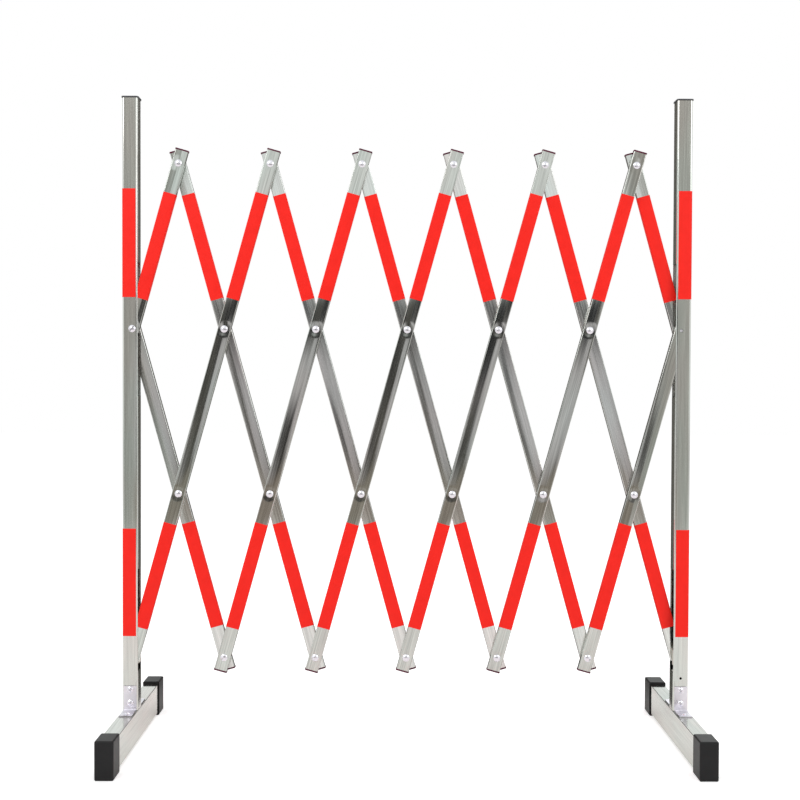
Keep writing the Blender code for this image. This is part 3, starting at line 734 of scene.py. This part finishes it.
class BARRIER_OT_tape(bpy.types.Operator):
    """Winds the red tape round the struts, lapped over at the back"""

    bl_idname = "barrier.tape"
    bl_label = "Strut tape"

    def execute(self, context):
        patterns = {layer: self.sleeve(layer) for layer in (FRONT, REAR)}
        for name, (layer, column, row, pivots) in STRUTS.items():
            taped = [step for step in range(pivots - 1) if row + step in TAPED_ROWS]
            for count, step in enumerate(taped, 1):
                place = on_strut(layer, column, row, (step + 0.5) * PIVOT_SPACING)
                set_in(patterns[layer], f"tape_{count}", "tape", name, place, -LEAN,
                       TURN[layer])
        drop(*patterns.values())
        return {"FINISHED"}

    def sleeve(self, layer):
        """A sleeve of tape round a strut, with its overlap on the face that ends at the back."""
        s = sizes()
        pattern = strut_section("tape_pattern", s.tape_gap + s.tape_thickness)
        hollow_out(s.tape_thickness)
        lift(-s.tape_length / 2)
        draw_out(z=s.tape_length)
        close_up(pattern)
        edit()
        back = s.strut_depth / 2 + s.tape_gap
        pick("FACE", lambda f: f.normal.y * layer > FLAT
             and f.calc_center_median().y * layer > back
             and abs(f.calc_center_median().x) < s.tape_lap / 2)
        draw_out(y=layer * LAP_SHARE * s.tape_thickness)
        return close_up(pattern)


class BARRIER_OT_plugs(bpy.types.Operator):
    """Moulds the thin plugs in the free ends of the struts"""

    bl_idname = "barrier.plugs"
    bl_label = "Strut plugs"

    def execute(self, context):
        s = sizes()
        pattern = new_section("plug_pattern", s.strut_width + 2 * s.plug_rim,
                              s.strut_depth + 2 * s.plug_rim, s.plug_corner)
        draw_out(z=s.plug_flange)
        face_outwards()
        pick("EDGE", lambda e: along(e, Z) < SQUARE and middle(e).z > s.plug_flange / 2)
        bevel(SMALL_EDGE, SMALL_STEPS)
        pick("FACE", lambda f: f.normal.z < -FLAT)
        inset(s.plug_rim + s.strut_wall + STUB_GAP)
        draw_out(z=-s.plug_inside)
        bpy.ops.transform.resize(value=STUB_TAPER)
        pick("FACE", lambda f: f.normal.z > FLAT)
        inset(PLUG_LIP)
        inset(PLUG_DISH_EDGE, -PLUG_DISH)
        close_up(pattern)
        for name, (layer, column, row, pivots) in STRUTS.items():
            ends = strut_ends(layer, column, pivots)
            for label, free, reach, flip in zip(LEVELS, ends, strut_reach(*ends, pivots),
                                                (HALF_TURN, 0)):
                if free:
                    set_in(pattern, f"{label}_plug", "plum", name,
                           on_strut(layer, column, row, reach), flip - layer * LEAN)
        drop(pattern)
        return {"FINISHED"}


# Rivets, bolts and pins


def mirrored(points):
    """Points of a piece that is the same at both ends, from those of its upper half."""
    return [(radius, -height) for radius, height in reversed(points)] + points


def with_head(points, seat, diameter, rise):
    """A shank's points with those of a domed head on its seat: a short rim, then a flat arc."""
    seat, crown = seat + NUDGE, rise - HEAD_RIM
    ball = ((diameter / 2) ** 2 + crown ** 2) / (2 * crown)
    widest = math.asin(diameter / 2 / ball)
    head = [(diameter / 2 * HEAD_FOOT, 0), (diameter / 2, HEAD_RIM * RIM_WIDEST)]
    for step in range(DOME_STEPS):
        angle = widest * (1 - step / DOME_STEPS)
        head.append((ball * math.sin(angle), rise - ball * (1 - math.cos(angle))))
    head.append((CROWN_FLAT, rise))
    return points + [(radius, seat + height) for radius, height in head]


def cut_cross(thing, head, top):
    """Cuts a cross recess into a head about Z: two blades that narrow downwards."""
    half = (head * RECESS_SHARE / 2, RECESS_WIDTH / 2)
    low, high = top - RECESS_DEPTH, top + CUT_OVERRUN
    for turn in (0, QUARTER):
        blade = new_block("blade", (-half[0], -half[1], low), (*half, high))
        edit()
        pick("VERT", lambda v: v.co.z < (low + high) / 2)
        bpy.ops.transform.resize(value=RECESS_TAPER, center_override=(0, 0, low))
        cut(thing, settle(blade, rotation_euler=(0, 0, turn)))


def hexagon_nut(low, high):
    """A chamfered hexagon nut about Z, as a solid that a bolt's end runs through."""
    nut = new_piece("nut", "cylinder", vertices=NUT_SIDES, depth=high - low,
                    radius=NUT_WIDTH / 2 / math.cos(HALF_TURN / NUT_SIDES),
                    location=(0, 0, (low + high) / 2))
    edit()
    pick("EDGE", lambda e: along(e, Z) < SQUARE)
    bevel(NUT_CHAMFER, CHAMFER_STEPS)
    pick("EDGE", lambda e: along(e, Z) > PARALLEL)
    bevel(SMALL_EDGE, CHAMFER_STEPS)
    return close_up(nut)


def bolt_pattern(name, reach, head, rise, recess):
    """A domed bolt along Y, head to the front: its shank, recess and nut behind."""
    shank, end, top = sizes().shank / 2, -reach - NUT_HEIGHT - BOLT_TAIL, reach + rise
    points = [(shank - PIN_CHAMFER, end), (shank, end + PIN_CHAMFER), (shank, reach)]
    bolt = close_up(new_turned(name, with_head(points, reach, head, rise)))
    if recess == "cross":
        cut_cross(bolt, head, top)
    else:
        slot = new_block("slot", (-head, -HEAD_SLOT_HALF, top - HEAD_SLOT_DEPTH),
                         (head, HEAD_SLOT_HALF, top + CUT_OVERRUN))
        cut(bolt, settle(slot, rotation_euler=(0, 0, HEAD_SLOT_TURN)))
    cut(bolt, hexagon_nut(-reach - NUT_HEIGHT, -reach), "UNION")
    return settle(bolt, rotation_euler=(QUARTER, 0, 0))


class BARRIER_OT_rivets(bpy.types.Operator):
    """Turns the domed rivets with their washers at the crossings"""

    bl_idname = "barrier.rivets"
    bl_label = "Rivets"

    def execute(self, context):
        s = sizes()
        seat = s.strut_depth + s.layer_gap / 2 - DIMPLE_UNDER_RIM * s.dimple
        points = [(s.washer / 2, WASHER_HALF), (s.shank / 2, WASHER_HALF + NUDGE),
                  (s.shank / 2, seat)]
        points = mirrored(with_head(points, seat, s.rivet_head, s.rivet_rise))
        pattern = close_up(new_turned("rivet_pattern", points), (QUARTER, 0, 0))
        for row, count in RIVETS.items():
            for number in range(1, count + 1):
                name = f"{row}_rivet_{number}"
                set_in(pattern, "domed", "bright", name, middle_of(name))
        drop(pattern)
        return {"FINISHED"}


class BARRIER_OT_bolts(bpy.types.Operator):
    """Turns the foot bolts, the pivot bolt of the left post and the pins that show no head"""

    bl_idname = "barrier.bolts"
    bl_label = "Bolts and pins"

    def execute(self, context):
        s = sizes()
        wall = s.post_width / 2
        foot = bolt_pattern("foot_bolt_pattern", wall + s.bracket_thickness + 2 * SEAT_GAP,
                            s.bolt_head, s.bolt_rise, "cross")
        for side in SIDES:
            for level in LEVELS:
                name = f"{side}_{level}_foot_bolt"
                set_in(foot, "domed", "bright", name,
                       (POST_X[side], 0, middle_of(name).z))
        pivot = bolt_pattern("pivot_bolt_pattern", wall + SEAT_GAP, s.rivet_head,
                             PIVOT_HEAD_RISE, "slot")
        set_in(pivot, "domed", "bright", "left_pivot_bolt",
               (FIRST_COLUMN_X, 0, ROWS[2]))
        drop(foot, pivot)
        inside = wall - s.post_wall - HOLE_GAP
        for name, reach in (("right_pivot_pin", wall), ("left_slide_pin", inside),
                            ("right_slide_pin", inside)):
            points = [(s.washer / 2, WASHER_HALF), (s.shank / 2, WASHER_HALF + NUDGE),
                      (s.shank / 2, reach - PIN_CHAMFER), (s.shank / 2 - PIN_CHAMFER, reach)]
            pin = close_up(new_turned(f"{name}_turned", mirrored(points), SHANK_SIDES),
                           (QUARTER, 0, 0))
            dress(settle(pin, location=middle_of(name)), "bright", name)
        return {"FINISHED"}


# Posts


class BARRIER_OT_posts(bpy.types.Operator):
    """Models the two posts with their openings, and the tape round them"""

    bl_idname = "barrier.posts"
    bl_label = "Posts"

    def execute(self, context):
        for side, way in SIDES.items():
            self.post(side, -way)
            for number, (low, high) in enumerate(TAPE_BANDS, 1):
                self.tape(side, -way, number, low, high)
        return {"FINISHED"}

    def post(self, side, inward):
        s = sizes()
        post = new_section(f"{side}_post_tube", s.post_width, s.post_width, s.post_corner)
        hollow_out(s.post_wall)
        lift(POST_BOTTOM)
        draw_out(z=POST_TOP - POST_BOTTOM)
        close_up(post)
        for low, high in ((ROWS[2] - WINDOW_HALF, ROWS[2] + WINDOW_HALF), (SLOT_LOW, SLOT_HIGH)):
            cut(post, self.opening(inward, low, high))
        pivot = shank_hole(ROWS[2], s.post_width)
        pivot.location.x = -inward * (HALF_PITCH * LAST_COLUMN / 2 - abs(POST_X[side]))
        cut(post, pivot)
        for level in LEVELS:
            cut(post, shank_hole(middle_of(f"{side}_{level}_foot_bolt").z, s.post_width))
        if side == "right":
            spare = shank_hole(POST_BOTTOM + SPARE_RISE, SPARE_REACH, SPARE_RADIUS)
            spare.location.y = -s.post_width / 2
            cut(post, spare)
        settle(post, location=(POST_X[side], 0, 0))
        dress(post, "post", f"{side}_post")

    def opening(self, inward, low, high):
        """A cutter for an opening in the inner wall of a post, with small rounded corners."""
        s = sizes()
        half = s.strut_depth + s.layer_gap / 2 + OPENING_GAP
        near, far = sorted((0, inward * s.post_width))
        cutter = new_block("opening", (near, -half, low), (far, half, high))
        edit()
        pick("EDGE", lambda e: along(e, X) > PARALLEL)
        bevel(OPENING_CORNER, SMALL_STEPS)
        return cutter

    def tape(self, side, inward, number, low, high):
        """One band round the front, the outer side and the back, short of the inner corners."""
        s = sizes()
        grow = s.tape_gap + s.post_tape
        width = s.post_width + 2 * grow
        band = new_section(f"{side}_post_tape_{number}", width, width, s.post_corner + grow)
        hollow_out(s.post_tape)
        bpy.ops.mesh.bisect(plane_co=(inward * (s.post_width / 2 - s.post_corner), 0, 0),
                            plane_no=(inward, 0, 0), clear_outer=True)
        select_all()
        lift(low)
        draw_out(z=high - low)
        close_up(band)
        settle(band, location=(POST_X[side], 0, 0))
        dress(band, "tape", f"{side}_post")


class BARRIER_OT_caps(bpy.types.Operator):
    """Moulds the black caps on top of the posts"""

    bl_idname = "barrier.caps"
    bl_label = "Post caps"

    def execute(self, context):
        s = sizes()
        low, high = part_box("left_post_cap")
        width, seat = high.x - low.x, POST_TOP + SEAT_GAP
        pattern = new_section("cap_pattern", width, width, s.post_corner + CAP_CORNER)
        lift(seat)
        draw_out(z=high.z - seat - sum(up for inward, up in CAP_CROWN))
        face_outwards()
        pick("FACE", lambda f: f.normal.z > FLAT)
        for inward, up in CAP_CROWN:
            inset(inward)
            lift(up)
        pick("EDGE", lambda e: along(e, Z) < SQUARE and middle(e).z < seat + WELD)
        bevel(SMALL_EDGE, CHAMFER_STEPS)
        pick("FACE", lambda f: f.normal.z < -FLAT)
        inset((width - s.post_width) / 2 + s.post_wall + SEAT_GAP)
        draw_out(z=-CAP_STUB)
        draw_out(z=-CAP_STUB_TIP)
        bpy.ops.transform.resize(value=CAP_STUB_TAPER)
        close_up(pattern)
        for side, x in POST_X.items():
            set_in(pattern, "moulded", "cap", f"{side}_post_cap", (x, 0, 0))
        drop(pattern)
        return {"FINISHED"}


# Feet, brackets and slide blocks


class BARRIER_OT_beams(bpy.types.Operator):
    """Models the rectangular foot beams under the posts"""

    bl_idname = "barrier.beams"
    bl_label = "Foot beams"

    def execute(self, context):
        size = BEAM_HIGH - BEAM_LOW
        pattern = new_section("beam_pattern", size.x, size.z, BEAM_CORNER)
        hollow_out(sizes().beam_wall)
        lift(-size.y / 2)
        draw_out(z=size.y)
        close_up(pattern, (QUARTER, 0, 0))
        for side, x in POST_X.items():
            set_in(pattern, "tube", "beam", f"{side}_foot_beam",
                   (x, 0, (BEAM_LOW.z + BEAM_HIGH.z) / 2))
        drop(pattern)
        return {"FINISHED"}


class BARRIER_OT_rubber_feet(bpy.types.Operator):
    """Moulds the rubber feet over the ends of the beams, with treads under the sole"""

    bl_idname = "barrier.rubber_feet"
    bl_label = "Rubber feet"

    def execute(self, context):
        half = (RUBBER_HIGH.x - RUBBER_LOW.x) / 2
        mouth, end = RUBBER_LOW.y, RUBBER_HIGH.y
        pattern = new_block("rubber_pattern", (-half, mouth, 0), (half, end, RUBBER_HIGH.z))
        edit()
        pick("EDGE", lambda e: max(v.co.y for v in e.verts) > mouth + WELD)
        bevel(RUBBER_EDGE, RUBBER_STEPS)
        face_outwards()
        pick("FACE", lambda f: f.normal.y < -FLAT and f.calc_center_median().y < mouth + WELD)
        inset(MOUTH_EDGE)
        close_up(pattern)
        wide = half - RUBBER_WALL
        cut(pattern, new_block("pocket", (-wide, mouth - 4 * CUT_OVERRUN, RUBBER_SOLE),
                               (wide, end - RUBBER_SOLE, BEAM_HIGH.z + SEAT_GAP)))
        wide = half - TREAD_MARGIN
        for step in range(TREADS):
            start = mouth + TREAD_START + step * TREAD_PITCH
            cut(pattern, new_block("groove", (-wide, start, -CUT_OVERRUN),
                                   (wide, start + TREAD_WIDTH, TREAD_DEPTH)))
        for side, x in POST_X.items():
            for label, way in ENDS.items():
                set_in(pattern, "moulded", "rubber", f"{side}_{label}_rubber_foot",
                       (x, 0, 0), turn=TURN[way])
        drop(pattern)
        return {"FINISHED"}


class BARRIER_OT_brackets(bpy.types.Operator):
    """Bends the foot brackets and sets the screws that hold them to the beams"""

    bl_idname = "barrier.brackets"
    bl_label = "Foot brackets"

    def execute(self, context):
        s = sizes()
        face, floor = s.post_width / 2 + SEAT_GAP, BEAM_HIGH.z + SEAT_GAP
        pattern = new_section("bracket_pattern", s.bracket_width, s.bracket_thickness,
                              BRACKET_EDGE, CHAMFER_STEPS)
        bpy.ops.transform.translate(value=(0, face + s.bracket_thickness / 2,
                                           floor + BRACKET_RISE))
        select_all("FACE")
        draw_out(z=BRACKET_BEND - BRACKET_RISE)
        bpy.ops.mesh.spin(steps=BEND_STEPS, angle=-QUARTER, axis=(1, 0, 0),
                          center=(0, face + BRACKET_BEND, floor + BRACKET_BEND))
        draw_out(y=BRACKET_REACH - BRACKET_BEND)
        close_up(pattern)
        for level in LEVELS:
            hole = shank_hole(middle_of(f"left_{level}_foot_bolt").z, 3 * s.bracket_thickness)
            hole.location.y = face
            cut(pattern, hole)
        screw = self.screw(floor + s.bracket_thickness)
        screw_y = face + BRACKET_REACH - SCREW_SETBACK
        for side, x in POST_X.items():
            for label, way in ENDS.items():
                name = f"{side}_{label}_bracket"
                set_in(pattern, "bent", "zinc", name, (x, 0, 0), turn=TURN[way])
                set_in(screw, "screw", "bright", name, (x, way * screw_y, 0))
        drop(pattern, screw)
        return {"FINISHED"}

    def screw(self, seat):
        """A domed screw with a cross recess, upright on the bracket."""
        s = sizes()
        points = [(radius, seat + height) for radius, height in SCREW_OUTLINE]
        points = with_head(points, seat, s.bolt_head, s.bolt_rise)
        screw = close_up(new_turned("screw_pattern", points))
        cut_cross(screw, s.bolt_head, seat + s.bolt_rise)
        return screw


class BARRIER_OT_slides(bpy.types.Operator):
    """Shapes the nylon blocks that carry the lower strut ends up and down in the posts"""

    bl_idname = "barrier.slides"
    bl_label = "Slide blocks"

    def execute(self, context):
        for side in SIDES:
            name = f"{side}_slide_block"
            block = new_block(f"{name}_machined", *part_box(name))
            edit()
            bevel(BLOCK_EDGE, SMALL_STEPS)
            close_up(block)
            hole = shank_hole(0, BLOCK_HOLE_REACH)
            hole.location = middle_of(f"{side}_slide_pin")
            cut(block, hole)
            dress(block, "nylon", name)
        return {"FINISHED"}


# Stage

CAMERA_PLACE = Vector((-0.0295, -2.1739, 0.7164))
CAMERA_YAW, CAMERA_PITCH, CAMERA_ROLL = (math.radians(turn) for turn in (-0.421, -1.121, 0.209))
CAMERA_LENS, CAMERA_SENSOR, CAMERA_CLIP = 49.95, 36, (0.05, 60)
# Each soft box: its place, its size and its power
LAMPS = {"key_box": ((-1.8, -2.4, 2.6), 1.8, 34), "fill_box": ((2.2, -2.2, 2.0), 1.6, 18),
         "back_box": ((0.6, 2.6, 2.8), 2.0, 30)}
LAMP_AIM = Vector((0, 0, 0.6))
STAGE_HALF = 12.0
WORLD_LIGHT = 0.62  # what lights the object, where the background that is seen has 1
FLOOR_GLOW, FLOOR_GLOSS_DROP = 0.45, 0.27
SCREEN_PLACE, SCREEN_WIDTH, SCREEN_HEIGHT = 1.7, 5.0, 2.5
# A dark glowing sheet behind the barrier that only gloss sees: painted shade for the posts' inner
# sides
SHADE_SHEET_HALF, SHADE_SHEET_NEAR, SHADE_SHEET_FAR, SHADE_SHEET_HEIGHT = 0.462, 0.2, 1.68, 1 * MM
SHADE_SHEET_PATCH = 60 * MM  # blotches a little lighter and darker in the sheet's painted shade, so that it is not flat

# The screens' glowing panels. Each pair is where a soft edge is still clear and where it is full,
# in metres across, up or, for the rear wall, back.
REAR_WALL = (-0.1, 0.1)
LOW_EDGE, LOW_TOP = (0.93, 0.88), (1.06, 0.98)
LEAN_IN = ((0.6, 1.2, 0, 0.07), (1.2, 1.45, 0, 0.08))  # from and to a height, and how far in
REAR_INSET = 0.14
WING_EDGE, WING_TOP = (1.24, 1.12), (2.5, 2.2)
DARK_PATCH_EDGE, DARK_PATCH_TOP = (0.38, 0.3), (2.0, 1.8)
FRONT_PANEL_BOTTOM, FOOT_TOP = (0.04, 0.2), (0.39, 0.33)
STRIP_PITCH, DARK_STRIP, STRIP_EDGE, STRIP_SWAY = 0.3168, -0.67, (-0.1, 0.3), 0.8
STRIPS_TOP, LEFT_FLANK = (0.81, 0.89), (-0.99, -1.03)
# Painted folds of light and shade, a hand's width from fold to fold, and ten times as long down
# the panel
PAINTED_FOLD, PAINTED_FOLD_STRETCH, PAINTED_FOLD_SPAN = 80 * MM, (1, 1, 0.1), (0.4, 0.65)
# Pale spots painted into the glow, each its middle and the radii where it is fully pale and where
# it ends
PAINTED_PALE_SPOTS = (((0.55, -SCREEN_PLACE, 0.6), 0.14, 0.3), ((-0.36, -SCREEN_PLACE, 0.72), 0.05, 0.16))


def background_share(tree):
    """One for the rays that see the background straight or in a gloss, and else nought."""
    camera, gloss, through = (node(tree, "LightPath", output=f"Is {ray} Ray")
                              for ray in ("Camera", "Glossy", "Transmission"))
    both = node(tree, "Math", (camera, gloss), operation="ADD")
    return node(tree, "Math", (both, through), operation="ADD", use_clamp=True)


def gloss_tint(tree, code):
    """A colour for the rays of a gloss, and white for all others."""
    gloss = node(tree, "LightPath", output="Is Glossy Ray")
    return node(tree, "Mix", {0: gloss, 6: "#FFFFFF", 7: code}, 2, data_type="RGBA")


def show_to_gloss_only(thing, made):
    """Gives a thing its material, and hides it from all but what the steel mirrors."""
    thing.data.materials.append(made)
    thing.visible_camera = thing.visible_diffuse = thing.visible_shadow = False


class BARRIER_OT_stage(bpy.types.Operator):
    """Sets the pale floor, the soft light, what the steel mirrors, and the camera"""

    bl_idname = "barrier.stage"
    bl_label = "Stage"

    def execute(self, context):
        self.world(context)
        self.floor()
        self.screens()
        self.mat()
        self.lamps(context)
        self.camera(context)
        return {"FINISHED"}

    def world(self, context):
        """A plain sky that lights the barrier softly and is white where it is seen."""
        world = bpy.data.worlds.new("soft_studio")
        context.scene.world = world
        world.use_nodes = True
        tree = world.node_tree
        fill(tree, tree.nodes["Background"], {
            "Color": gloss_tint(tree, "#F9FDFC"),
            "Strength": node(tree, "MapRange", (background_share(tree), 0, 1, WORLD_LIGHT, 1)),
        })

    def floor(self):
        """Matt white paint, rolled on, that glows to white where the camera sees it."""
        floor = new_piece("studio_floor", "plane", size=2 * STAGE_HALF)
        made, tree, shader = new_material("painted_studio_floor")
        gloss = node(tree, "LightPath", output="Is Glossy Ray")
        glow = node(tree, "Math", (background_share(tree), FLOOR_GLOW), operation="MULTIPLY")
        less = node(tree, "Math", (gloss, FLOOR_GLOSS_DROP), operation="MULTIPLY")
        fill(tree, shader, {
            "Base Color": "#F6F6F6",
            "Roughness": 0.9,
            "Specular IOR Level": 0,
            "Emission Color": gloss_tint(tree, "#F2E6DE"),
            "Emission Strength": node(tree, "Math", (glow, less), operation="SUBTRACT"),
        })
        floor.data.materials.append(made)

    def screens(self):
        """Two glowing walls, before and behind the barrier, that only gloss can see: their painted
        tones give the steel its reflections.
        """
        walls = [new_piece("wall", "plane", (SCREEN_WIDTH, SCREEN_HEIGHT, 1), size=1,
                           rotation=(QUARTER, 0, 0),
                           location=(0, way * SCREEN_PLACE, SCREEN_HEIGHT / 2))
                 for way in (FRONT, REAR)]
        walls[0].select_set(True)
        bpy.ops.object.join()
        screens = bpy.context.object
        screens.name = "glowing_reflection_screens"
        made, tree, shader = new_material("painted_reflection_panels")
        tree.nodes.remove(shader)
        cover, tone = self.cloth(tree)
        # The panels glow with their painted tone and are not lit: painted light for the steel to
        # mirror
        glow = node(tree, "Emission", (tone,))
        mix = node(tree, "MixShader", (cover, node(tree, "BsdfTransparent"), glow))
        fill(tree, tree.nodes["Material Output"], {"Surface": mix})
        show_to_gloss_only(screens, made)

    def cloth(self, tree):
        """Where the screens' panels are, and the tone they glow with there. The glow is painted in
        soft folds of light and shade, so that the steel shows it as strips of dark and pale with
        soft edges."""
        place = node(tree, "TexCoord", output="Object")
        x, y, z = (node(tree, "SeparateXYZ", (place,), axis) for axis in "XYZ")
        aside = node(tree, "Math", (x,), operation="ABSOLUTE")
        rear = joint_mask(tree, "MULTIPLY", (y, *REAR_WALL))
        front = node(tree, "Math", (1, rear), operation="SUBTRACT")

        # The glowing panels: low in the middle, higher at their front wings and in a dark patch
        # behind
        low, high = (node(tree, "MapRange", (z, *step)) for step in LEAN_IN)
        in_by = node(tree, "Math", (low, high), operation="ADD")
        edge = node(tree, "Math", (in_by, front, aside), operation="MULTIPLY_ADD")
        edge = node(tree, "Math", (rear, REAR_INSET, edge), operation="MULTIPLY_ADD")
        centre = joint_mask(tree, "MULTIPLY", (edge, *LOW_EDGE))
        sides = node(tree, "Math", (1, centre), operation="SUBTRACT")
        flank = joint_mask(tree, "MULTIPLY", front, sides)
        between = joint_mask(tree, "MULTIPLY", rear, (aside, *DARK_PATCH_EDGE))
        low_panel = joint_mask(tree, "MULTIPLY", centre, (z, *LOW_TOP))
        dark_patch = joint_mask(tree, "MULTIPLY", between, (z, *DARK_PATCH_TOP))
        wings = joint_mask(tree, "MULTIPLY", flank, (aside, *WING_EDGE), (z, *WING_TOP))
        panel_reach = joint_mask(tree, "MAXIMUM", rear, (z, *FRONT_PANEL_BOTTOM))
        cover = joint_mask(tree, "MULTIPLY", panel_reach,
                           joint_mask(tree, "MAXIMUM", low_panel, dark_patch, wings))

        # Painted dark and pale strips glow by turns, and painted pale spots stand before some of
        # the dark ones
        painted_folds = node(tree, "Mapping", {"Vector": place, "Scale": PAINTED_FOLD_STRETCH})
        painted_folds = node(tree, "TexNoise", {"Vector": painted_folds, "Scale": 1 / PAINTED_FOLD, "Detail": 3}, "Fac")
        swing = node(tree, "Math", (x, DARK_STRIP), operation="SUBTRACT")
        swing = node(tree, "Math", (2 * math.pi / STRIP_PITCH, swing), operation="MULTIPLY")
        swing = node(tree, "Math", (swing,), operation="COSINE")
        swing = node(tree, "Math", (painted_folds, STRIP_SWAY, swing), operation="MULTIPLY_ADD")
        dark = joint_mask(tree, "MAXIMUM", (swing, *STRIP_EDGE), (z, *STRIPS_TOP), between)
        for spot, inner, outer in PAINTED_PALE_SPOTS:
            away = node(tree, "VectorMath", (place, spot), "Value", operation="DISTANCE")
            dark = joint_mask(tree, "MULTIPLY", dark, (away, inner, outer))
        foot = joint_mask(tree, "MULTIPLY", front, (z, *FOOT_TOP))
        wing_tone = blend(tree, x, "#B9B9B4", "#55554F", LEFT_FLANK)
        tone = blend(tree, painted_folds, "#303134", "#6A6862", PAINTED_FOLD_SPAN)
        tone = node(tree, "Mix", {0: dark, 6: "#D6D4D6", 7: tone}, 2, data_type="RGBA")
        for mask, over in ((between, "#66645F"), (foot, "#9C958B"),
                           (flank, wing_tone)):
            tone = node(tree, "Mix", {0: mask, 6: tone, 7: over}, 2, data_type="RGBA")
        return cover, tone

    def mat(self):
        """A dark sheet on the floor behind, evenly dull, that glows only for gloss: painted shade
        for the posts' inner sides to mirror.
        """
        mat = new_piece("painted_shade_sheet", "plane", (2 * SHADE_SHEET_HALF, SHADE_SHEET_FAR - SHADE_SHEET_NEAR, 1), size=1,
                        location=(0, (SHADE_SHEET_NEAR + SHADE_SHEET_FAR) / 2, SHADE_SHEET_HEIGHT))
        made, tree, shader = new_material("painted_shade_glow")
        tree.nodes.remove(shader)
        # Painted shade: a dark grey glow in soft blotches
        tone = blend(tree, grain(tree, SHADE_SHEET_PATCH, 3), "#4A4A48", "#66655F")
        glow = node(tree, "Emission", (tone,))
        fill(tree, tree.nodes["Material Output"], {"Surface": glow})
        show_to_gloss_only(mat, made)

    def lamps(self, context):
        """Two broad soft boxes in front and one behind, all well above the barrier."""
        for name, (place, size, power) in LAMPS.items():
            lamp = bpy.data.lights.new(name, "AREA")
            lamp.shape = "SQUARE"
            lamp.size = size
            lamp.energy = power
            thing = bpy.data.objects.new(name, lamp)
            context.scene.collection.objects.link(thing)
            thing.location = place
            aim = LAMP_AIM - Vector(place)
            thing.rotation_euler = aim.to_track_quat("-Z", "Y").to_euler()

    def camera(self, context):
        camera = bpy.data.cameras.new("camera")
        camera.lens, camera.sensor_width = CAMERA_LENS, CAMERA_SENSOR
        camera.clip_start, camera.clip_end = CAMERA_CLIP
        thing = bpy.data.objects.new("camera", camera)
        context.scene.collection.objects.link(thing)
        thing.matrix_world = Matrix.Translation(CAMERA_PLACE)
        for turn, axis in ((CAMERA_YAW, "Z"), (QUARTER + CAMERA_PITCH, "X"), (CAMERA_ROLL, "Z")):
            thing.matrix_world = thing.matrix_world @ Matrix.Rotation(turn, 4, axis)
        context.scene.camera = thing
        context.scene.view_settings.view_transform = "Standard"


OPERATORS = (BARRIER_OT_struts, BARRIER_OT_tape, BARRIER_OT_plugs, BARRIER_OT_rivets,
             BARRIER_OT_bolts, BARRIER_OT_posts, BARRIER_OT_caps, BARRIER_OT_beams,
             BARRIER_OT_rubber_feet, BARRIER_OT_brackets, BARRIER_OT_slides, BARRIER_OT_stage)


class BARRIER_PT_panel(bpy.types.Panel):
    """Lists the barrier's pieces, sizes and finishes"""

    bl_idname = "BARRIER_PT_panel"
    bl_label = "Expandable safety barrier"
    bl_space_type = "VIEW_3D"
    bl_region_type = "UI"
    bl_category = "Barrier"

    def draw(self, context):
        for operator in OPERATORS:
            self.layout.operator(operator.bl_idname)
        for group in (context.scene.barrier_sizes, context.scene.barrier_finishes):
            box = self.layout.box()
            for name in group.__annotations__:
                box.prop(group, name)


CLASSES = (BarrierSizes, BarrierFinishes, *OPERATORS, BARRIER_PT_panel)


def register():
    for item in CLASSES:
        bpy.utils.register_class(item)
    bpy.types.Scene.barrier_sizes = PointerProperty(type=BarrierSizes)
    bpy.types.Scene.barrier_finishes = PointerProperty(type=BarrierFinishes)


def unregister():
    del bpy.types.Scene.barrier_finishes
    del bpy.types.Scene.barrier_sizes
    for item in reversed(CLASSES):
        bpy.utils.unregister_class(item)


def main():
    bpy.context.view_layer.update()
    register()
    for operator in OPERATORS:
        group, name = operator.bl_idname.split(".")
        getattr(getattr(bpy.ops, group), name)()


if __name__ == "__main__":
    main()
